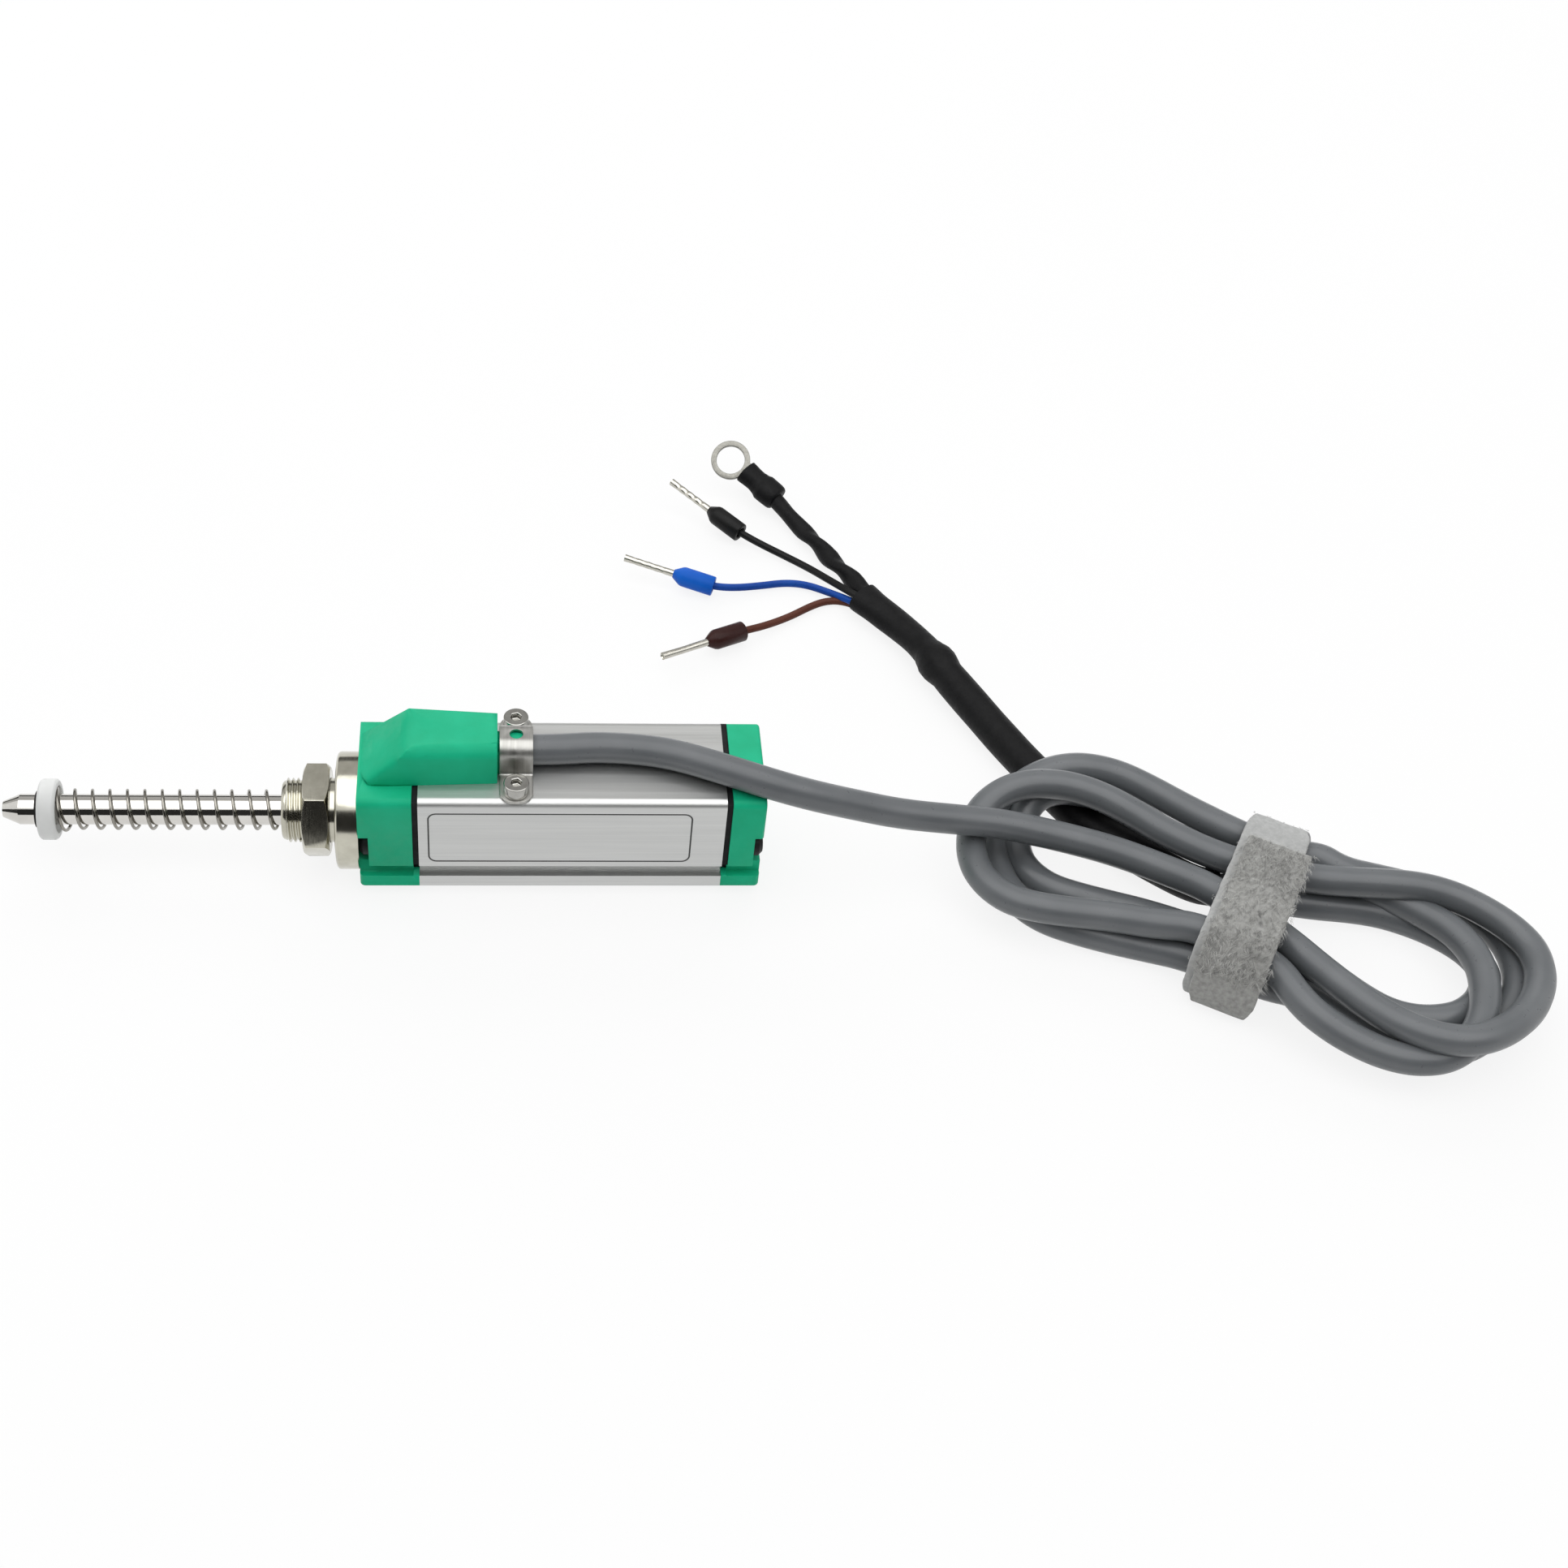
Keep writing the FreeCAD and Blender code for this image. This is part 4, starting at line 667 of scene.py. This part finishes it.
def ferrule_pin(colour, seat):
    """A thin tube with crimp dents along its crown and an open, slightly flared end."""
    start = (COLLAR_LENGTH + COLLAR_CONE) * MM
    line = [Vector((start, 0, 0)), Vector((start + PIN_LENGTH * MM, 0, 0))]
    count, depth = CRIMPS[colour]

    def radius(share, angle, place):
        dent = 0.0
        if CRIMP_START < share < CRIMP_END:
            crimp = (share - CRIMP_START) / (CRIMP_END - CRIMP_START)
            wave = 0.5 - 0.5 * math.cos(crimp * count * math.tau)
            dent = wave * (depth * max(0.0, math.sin(angle)) ** 2 + 0.3 * depth * math.cos(angle) ** 2)
        flare = steps_between(share, (0.0, 0.0), (0.9, 0.0), (1.0, 0.02))
        return (PIN_DIA / 2 - dent * 0.9 - 0.02 + flare) * MM

    bm = sleeve_mesh(line, 0.14 * MM, 24, radius)
    end_face = max((f for f in bm.faces if len(f.verts) > 4), key=lambda f: f.calc_center_median().x)
    bmesh.ops.inset_region(bm, faces=[end_face], thickness=0.14 * MM, use_even_offset=True)
    bmesh.ops.translate(bm, verts=end_face.verts, vec=(-0.25 * MM, 0, 0))
    bmesh.ops.transform(bm, matrix=seat, verts=bm.verts)
    piece = from_bmesh(f"{colour}_crimp_pin", bm, "housing", "tinned_copper", sharp=50)
    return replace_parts(piece, "ferrule_pins")


lead_pieces = {}
for colour, points in LEADS.items():
    end, heading = mm(*points[-1]), (mm(*LEAD_TIP[colour]) - mm(*points[-1])).normalized()
    seat = seat_matrix(end, heading)
    route = points + [tuple((end + heading * LEAD_IN_COLLAR * MM) / MM)]
    lead = shown(
        f"{colour}_wire", route_curve(f"{colour}_wire", route, LEAD_DIA),
        "housing", f"{colour}_insulation", LEAD_FINISH[colour],
    )
    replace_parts(lead, f"{colour}_lead")
    lead_pieces[colour] = (lead, route, [ferrule_collar(colour, seat), ferrule_pin(colour, seat)])


# Sleeved shield wire, twisted under its shrink tube, with a ring terminal.

SHIELD_RUN = [
    (92.6, 52.6, -6.2), (88.4, 59.2, -6.1), (86.6, 63.2, -6.4), (83.7, 68.6, -6.9), (81.5, 74.1, -7.3),
    (78.3, 79.3, -7.3), (74.8, 85.9, -6.6),
]
TERMINAL_LINE = [mm(75.2, 85.8, -6.6), mm(69.6, 90.8, -4.2)]
SHIELD_END = (72.9, 87.8, -5.7)
SHIELD_DIA, SHIELD_TWIST = 2.9, 14.0
shield_line = route_line(SHIELD_RUN + [SHIELD_END])


def shield_radius(share, angle, place):
    twist = steps_between(share, (0.0, 0.0), (0.25, 1.0), (0.62, 1.0), (0.78, 0.25), (1.0, 0.1))
    oval = 1 + 0.20 * twist * math.cos(2 * (angle - share * SHIELD_TWIST))
    lump = noise.noise(place * 240 + Vector((math.cos(angle), math.sin(angle), 3)))
    return (SHIELD_DIA / 2 * oval + 0.10 * lump * twist) * MM


shield_wire = from_bmesh(
    "shield_wire", sleeve_mesh(shield_line, 0.5 * MM, 24, shield_radius),
    "housing", "shrink_sleeve", sharp=60,
)
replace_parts(shield_wire, "shield_lead")


def terminal_sleeve_radius(share, angle, place):
    body = steps_between(
        share, (0.0, 2.15), (0.04, 2.4), (0.12, 2.5), (0.42, 2.45), (0.52, 2.15), (0.66, 2.0), (1.0, 2.1)
    )
    flat = steps_between(share, (0.0, 0.06), (0.4, 0.12), (0.7, 0.10), (1.0, 0.16))
    oval = 1 + flat * math.cos(2 * angle)
    lump = noise.noise(place * 260 + Vector((math.cos(angle), math.sin(angle), 8)))
    return (body * oval + 0.16 * lump) * MM


terminal_shrink = from_bmesh(
    "terminal_shrink", sleeve_mesh(TERMINAL_LINE, 0.35 * MM, 28, terminal_sleeve_radius),
    "housing", "shrink_sleeve", sharp=60,
)
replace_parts(terminal_shrink, "terminal_sleeve")
terminal = softened("ring_terminal", 0.12 * MM, finish=RING_TIN)


# Felt strap round the hank: a closed band and the outer lap, which ends on top of the hank. Both paths are
# of (y, z) on the felt's outer face, in the hank's own frame. The felt is drawn in a little at FOLDS.

HANK_FRAME = Matrix.Translation(mm(139.5, -17.0, -9.0)) @ Matrix.Rotation(math.radians(-28.6), 4, "Z")
BAND = [
    (13.9, 11.3), (11.6, 11.55), (7.2, 11.5), (1.6, 11.3), (-4.0, 11.45), (-10.8, 11.6), (-14.0, 11.0),
    (-16.2, 9.0), (-17.2, 6.0), (-17.7, 2.6), (-16.9, 0.75), (-13.0, 0.4), (-5.0, 0.4), (5.0, 0.4),
    (13.0, 0.4), (16.2, 0.65), (17.0, 2.3), (17.0, 5.2), (16.5, 8.4), (15.6, 10.4),
]
LAP = [
    (8.0, 12.72), (6.2, 12.7), (3.6, 12.6), (0.6, 12.55), (-4.0, 12.7), (-11.0, 12.85), (-14.8, 12.1),
    (-17.2, 9.7), (-18.35, 6.2), (-18.9, 2.7), (-18.3, 0.85), (-16.6, 0.55),
]
FOLDS = [(15.2, 10.8), (-18.4, 1.2)]
FOLD_REACH, FOLD_SHARE = 3.4, 0.16
STRAP_WIDTH, STRAP_THICKNESS = 9.9, 1.1


def extruded(bm, edges):
    """The vertices and edges that extruding some edges makes."""
    made = bmesh.ops.extrude_edge_only(bm, edges=edges)["geom"]
    return [[g for g in made if isinstance(g, kind)] for kind in (bmesh.types.BMVert, bmesh.types.BMEdge)]


def strap_band(name, path, closed, width, shift, finish=None):
    """A felt band on a path, with the places and normals of its outer face."""
    curve = bpy.data.curves.new(name, "CURVE")
    curve.dimensions = "3D"
    spline = curve.splines.new("NURBS")
    spline.points.add(len(path) - 1)
    for control, (y, z) in zip(spline.points, path):
        control.co = (*mm(0, y, z), 1)
    spline.order_u = 3
    spline.use_cyclic_u = closed
    spline.use_endpoint_u = not closed
    spline.resolution_u = 8
    mesh = mesh_of(curve)
    bm = bmesh.new()
    bm.from_mesh(mesh)
    bpy.data.meshes.remove(mesh)
    bmesh.ops.translate(bm, verts=bm.verts, vec=mm(shift - width / 2, 0, 0))
    steps = 14
    front = list(bm.edges)
    for _ in range(steps):
        verts, front = extruded(bm, front)
        bmesh.ops.translate(bm, verts=verts, vec=mm(width / steps, 0, 0))
    bmesh.ops.recalc_face_normals(bm, faces=bm.faces)
    middle = mm(0, 0, 6)
    outward = sum((f.normal.dot(f.calc_center_median() - middle) * f.calc_area() for f in bm.faces), 0.0)
    if outward < 0:
        bmesh.ops.reverse_faces(bm, faces=bm.faces)
    for vert in bm.verts:
        from_fold = min(math.hypot(vert.co.y / MM - y, vert.co.z / MM - z) for y, z in FOLDS)
        pinch = steps_between(from_fold, (0.0, FOLD_SHARE), (FOLD_REACH, 0.0))
        vert.co.x -= (vert.co.x - shift * MM) * pinch
    skin = [(v.co.copy(), v.normal.copy()) for v in bm.verts]
    bmesh.ops.solidify(bm, geom=bm.faces, thickness=STRAP_THICKNESS * MM)
    for vert in bm.verts:
        ragged = noise.noise(vert.co * 900) * 0.10 + noise.noise(vert.co * 260) * 0.12
        edge = abs(vert.co.x - shift * MM) / (width / 2 * MM)
        vert.co += vert.normal * noise.noise(vert.co * 420) * 0.08 * MM
        vert.co.x += ragged * MM * edge ** 4
    soften(bm, 0.25 * MM, 50, 2)
    bmesh.ops.transform(bm, matrix=HANK_FRAME, verts=bm.verts)
    return from_bmesh(name, bm, "housing", "strap_felt", finish, sharp=60), skin


strap, band_skin = strap_band("strap_band", BAND, True, STRAP_WIDTH, -0.3, STRAP_BACK)
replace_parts(strap, "hank_strap")
strap_lap, lap_skin = strap_band("strap_lap", LAP, False, STRAP_WIDTH, 0.9)


def felt_nap(name, skin, tufts, hairs, reach, seed, finish):
    """Loose fibres in tufts that lie on the felt: narrow strips, bent over once, narrowing to the tip."""
    pick = random.Random(seed)
    bm = bmesh.new()
    rise = bm.verts.layers.float_vector.new("rise")
    fall = bm.verts.layers.float_vector.new("fall")
    sunk, apart, clump, thin = 0.05, 0.4, 0.25, (0.018, 0.032)
    upper = [(place, out) for place, out in skin if out.z > 0.35]
    for _ in range(tufts):
        place, out = pick.choice(upper)
        comb = Vector((pick.uniform(-0.9, 0.9), -1, 0))
        strewn = Vector((pick.uniform(-apart, apart), pick.uniform(-apart, apart), 0))
        spot = place + strewn * MM - out * sunk * MM
        for _ in range(hairs):
            sway = comb + Vector((pick.uniform(-0.4, 0.4), pick.uniform(-0.4, 0.4), 0))
            lean = (sway - out * sway.dot(out)).normalized()
            across = lean.cross(out)
            side = across * pick.uniform(*thin) * MM
            length = pick.uniform(0.55, 1.0) * reach * MM
            base = spot + across * pick.uniform(-clump, clump) * MM
            base += lean * pick.uniform(-clump, clump) * MM
            up = pick.uniform(0.12, 0.28)
            root = []
            for half in (side, -side):
                vert = bm.verts.new(base + half)
                vert[rise] = (lean * 0.45 + out * up) * length - half * 0.2
                vert[fall] = (lean * 0.55 - out * up * 0.6) * length - half * 0.7
                root.append(vert)
            bm.edges.new(root)
    front = list(bm.edges)
    for step in (rise, fall):
        verts, front = extruded(bm, front)
        for vert in verts:
            vert.co += vert[step]
    bmesh.ops.transform(bm, matrix=HANK_FRAME, verts=bm.verts)
    return from_bmesh(name, bm, "housing", "strap_felt", finish)


naps = [
    felt_nap("lap_light_nap", lap_skin, 900, 5, 1.5, 11, LIGHT_FIBRE),
    felt_nap("lap_dark_nap", lap_skin, 560, 4, 1.2, 12, DARK_FIBRE),
    felt_nap("band_nap", band_skin, 220, 3, 0.5, 13, LIGHT_FIBRE),
]


# Lengths of the leads' routes, worked out and not kept.

for colour, (lead, route, ferrule) in lead_pieces.items():
    round(line_length(route_line(route)), 4)


# Return spring: round wire, the last coil opened out to sit in the collar's recess.

SPRING_START, SPRING_END = -42.45, -8.55
SPRING_TURNS, SPRING_COIL, SPRING_WIRE = 13.0, 5.9, 0.5
SPRING_PER_TURN, SPRING_OPENING = 20, 0.30


def spring_wire():
    curve = bpy.data.curves.new("spring", "CURVE")
    curve.dimensions = "3D"
    count = round(SPRING_TURNS * SPRING_PER_TURN)
    spline = curve.splines.new("NURBS")
    spline.points.add(count)
    for k, control in enumerate(spline.points):
        share = k / count
        turn = share * SPRING_TURNS * math.tau
        opened = steps_between(share, (0.0, 1.0), (0.05, 1.0), (0.10, 0.0), (1.0, 0.0))
        radius = SPRING_COIL / 2 + SPRING_OPENING * opened
        x = SPRING_START + (SPRING_END - SPRING_START) * share
        control.co = (*mm(x, radius * math.cos(turn), radius * math.sin(turn)), 1)
    spline.order_u = 4
    spline.use_endpoint_u = True
    spline.resolution_u = 3
    curve.bevel_depth = SPRING_WIRE / 2 * MM
    curve.bevel_resolution = 3
    curve.use_fill_caps = True
    mesh = mesh_of(curve)
    mesh.shade_smooth()
    return mesh


spring = shown("coiled_spring", spring_wire(), "housing", "spring_steel")
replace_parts(spring, "return_spring")
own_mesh(spring)


# Threaded bushing: a real helical thread, the plain neck, the flange and the spigot in the cap.

THREAD_CREST, THREAD_ROOT, THREAD_PITCH = 4.95, 4.52, 0.75
THREAD_START, THREAD_TURNS, THREAD_STEPS = -7.95, 8.2, 64
BUSHING_PROFILE = [
    (-7.35, 2.62), (-8.10, 2.62), (-8.25, 2.78), (-8.25, 4.25), (-8.05, 4.45), (-7.60, 4.60),
    (-7.4, THREAD_ROOT), (-1.4, THREAD_ROOT), (-1.15, 4.62), (-1.0, THREAD_CREST - 0.04),
    (-0.22, THREAD_CREST - 0.04), (-0.12, 4.80), (0.0, 4.78), (0.0, 8.45), (0.10, 8.72), (0.35, 8.95),
    (0.62, 9.0), (3.35, 9.0), (3.5, 8.88), (3.5, 4.3), (11.0, 4.3), (11.0, 3.33), (-5.86, 3.33),
    (-5.86, 3.62), (-7.35, 3.62), (-7.35, 2.62),
]
RIDGE_PROFILE = [
    (0.0, THREAD_ROOT - 0.05), (0.08, THREAD_ROOT), (0.31, THREAD_CREST - 0.02),
    (0.44, THREAD_CREST - 0.02), (0.67, THREAD_ROOT), (0.75, THREAD_ROOT - 0.05),
]


def bushing():
    bm = bmesh.new()
    spun(bm, BUSHING_PROFILE, 96)
    return from_bmesh("turned_bushing", bm, "housing", "nickel_plate", sharp=30)


def thread():
    """Ridges wound round the bushing: one ridge swept along the helix, run out at both ends."""
    bm = bmesh.new()
    verts = [bm.verts.new(mm(THREAD_START + x, radius, 0)) for x, radius in RIDGE_PROFILE]
    edges = [bm.edges.new(pair) for pair in zip(verts, verts[1:] + verts[:1])]
    bmesh.ops.spin(
        bm, geom=verts + edges, cent=(0, 0, 0), axis=ROD_AXIS, dvec=mm(THREAD_PITCH / THREAD_STEPS, 0, 0),
        angle=THREAD_TURNS * math.tau, steps=round(THREAD_TURNS * THREAD_STEPS), use_merge=False,
    )
    for vert in bm.verts:
        radius = math.hypot(vert.co.y, vert.co.z)
        x = vert.co.x / MM
        run_in, run_out = 4.60 + (x + 8.1) * 0.75, 4.60 + (-0.95 - x) * 2.0
        allowed = min(run_in, run_out) * MM
        if radius > allowed:
            vert.co.y *= allowed / radius
            vert.co.z *= allowed / radius
    bmesh.ops.holes_fill(bm, edges=[e for e in bm.edges if e.is_boundary], sides=0)
    bmesh.ops.recalc_face_normals(bm, faces=bm.faces)
    return from_bmesh("bushing_thread", bm, "housing", "nickel_plate", sharp=30)


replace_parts(bushing(), "threaded_bushing")
thread()


# Engraved frame on the near side: a fine dark line with round corners round the bare plate.

def plate_frame():
    left, right, low, high, side_y = 13.9, 53.5, -1.8, 8.7, -9.012
    corner, line_width, line_depth = 1.3, 0.25, 0.03
    bm = bmesh.new()
    outline = ((left, low), (right, low), (right, high), (left, high))
    corners = [bm.verts.new(mm(x, side_y, z)) for x, z in outline]
    bm.faces.new(corners)
    bmesh.ops.bevel(
        bm, geom=corners, offset=corner * MM, offset_type="OFFSET", segments=8, profile=0.5,
        affect="VERTICES", clamp_overlap=False, material=-1,
    )
    face = bm.faces[:][0]
    bmesh.ops.inset_region(
        bm, faces=[face], thickness=line_width * MM, use_boundary=True, use_even_offset=True
    )
    bmesh.ops.delete(bm, geom=[face], context="FACES")
    bmesh.ops.recalc_face_normals(bm, faces=bm.faces)
    if bm.faces[:][0].normal.y > 0:
        bmesh.ops.reverse_faces(bm, faces=bm.faces)
    bmesh.ops.solidify(bm, geom=bm.faces, thickness=line_depth * MM)
    return from_bmesh("plate_frame_line", bm, "housing", finish=ENGRAVED)


plate_frame()


# Pieces whose CAD edges are sharp.

softened("front_cap", 0.20 * MM, 50, leave=on_crease, shape=ease_crease)
softened("rear_cap", 0.28 * MM, 50)
for node, width in (("jam_nut", 0.10), ("cable_clip", 0.06), ("spring_collar", 0.12)):
    softened(node, width * MM)
softened("clip_screws", 0.16 * MM, finish=SCREW_STEEL)


# Table, light and surroundings.

TABLE_GLOW, SKY_LIGHT = 0.86, 0.18


def seen_by(tree, *rays):
    """One for the kinds of ray that are named, nought for any other."""
    path = tree.nodes.new("ShaderNodeLightPath")
    level = path.outputs[f"Is {rays[0]} Ray"]
    for ray in rays[1:]:
        either = tree.nodes.new("ShaderNodeMath")
        either.operation = "MAXIMUM"
        tree.links.new(level, either.inputs[0])
        tree.links.new(path.outputs[f"Is {ray} Ray"], either.inputs[1])
        level = either.outputs[0]
    return level


def table_top():
    """A white table just under the sensor, which glows where the camera or bright metal sees it."""
    bm = bmesh.new()
    bmesh.ops.create_grid(bm, x_segments=1, y_segments=1, size=4.0)
    bmesh.ops.translate(bm, verts=bm.verts, vec=(0, 0, TABLE_Z - 0.05 * MM))
    mesh = mesh_from("table_top", bm)
    finish = Finish("white_table", Roughness=0.9)
    finish.tint(finish.grain(60 * MM), (0.88, 0.88, 0.88), (0.90, 0.90, 0.90))
    lit = finish.add("ShaderNodeEmission", Color=(1, 1, 1, 1), Strength=1.0)
    share = finish.add("ShaderNodeMath")
    share.operation = "MULTIPLY"
    share.inputs[1].default_value = TABLE_GLOW
    finish.join(seen_by(finish.tree, "Camera", "Glossy"), share.inputs[0])
    mix = finish.add("ShaderNodeMixShader")
    finish.join(share.outputs[0], mix.inputs["Fac"])
    finish.join(finish.shader.outputs["BSDF"], mix.inputs[1])
    finish.join(lit.outputs["Emission"], mix.inputs[2])
    finish.join(mix.outputs["Shader"], finish.tree.nodes["Material Output"].inputs["Surface"])
    mesh.materials.append(finish.material)
    floor = linked("table_top", mesh)


def softbox(name, place, aim, size, watts):
    lamp = bpy.data.lights.new(name, "AREA")
    lamp.shape = "RECTANGLE"
    lamp.size, lamp.size_y = size
    lamp.energy = watts
    holder = linked(name, lamp)
    holder.location = place
    holder.rotation_euler = (Vector(aim) - Vector(place)).to_track_quat("-Z", "Y").to_euler()


def card(name, shade, size, place, aim):
    """A flat card beside the table that only bright metal mirrors: shade is how light it looks."""
    bm = bmesh.new()
    bmesh.ops.create_grid(bm, x_segments=1, y_segments=1, size=0.5)
    bmesh.ops.scale(bm, verts=bm.verts, vec=(*size, 1))
    turn = (Vector(aim) - Vector(place)).to_track_quat("Z", "Y").to_matrix().to_4x4()
    bmesh.ops.transform(bm, matrix=Matrix.Translation(place) @ turn, verts=bm.verts)
    mesh = mesh_from(name, bm)
    finish = Finish(f"{name}_shade", Roughness=1.0, Specular_IOR_Level=0.0)
    finish.shader.inputs["Base Color"].default_value = (0, 0, 0, 1)
    ramp = finish.add("ShaderNodeValToRGB")
    for stop, level in zip(ramp.color_ramp.elements, (shade * 0.9, shade * 1.1)):
        stop.color = (level, level * 0.99, level * 0.97, 1)
    finish.join(finish.grain(0.3), ramp.inputs["Fac"])
    finish.join(ramp.outputs["Color"], finish.shader.inputs["Emission Color"])
    finish.shader.inputs["Emission Strength"].default_value = 1.0
    mesh.materials.append(finish.material)
    panel = linked(name, mesh)
    panel.visible_camera = False
    panel.visible_diffuse = False
    panel.visible_shadow = False


def surroundings():
    """A white room that lights the sensor only a little, and is seen and mirrored as plain white."""
    world = bpy.data.worlds.new("studio")
    bpy.context.scene.world = world
    world.use_nodes = True
    tree = world.node_tree
    sky = tree.nodes["Background"]
    sky.inputs["Color"].default_value = (1, 1, 1, 1)
    level = tree.nodes.new("ShaderNodeMapRange")
    level.inputs["To Min"].default_value = SKY_LIGHT
    level.inputs["To Max"].default_value = 1.0
    tree.links.new(seen_by(tree, "Camera", "Glossy", "Transmission"), level.inputs["Value"])
    tree.links.new(level.outputs["Result"], sky.inputs["Strength"])


table_top()
surroundings()
card("low_dark_card", 0.03, (2.8, 0.58), (0.05, -0.66, 0.28), (0.05, 0, 0))
card("grey_back_card", 0.52, (3.2, 1.5), (0.05, 1.0, 0.95), (0.05, 0, 0))
card("dark_back_card", 0.06, (3.2, 0.26), (0.05, 0.85, 0.20), (0.05, 0, 0))
softbox("key_box", (0.0, -0.10, 1.25), (0.06, 0, 0), (3.0, 1.6), 22.6)
softbox("back_box", (0.05, 1.55, 0.95), (0.06, 0, 0), (2.4, 1.0), 17.0)

scene = bpy.context.scene
scene.view_settings.view_transform = "Standard"
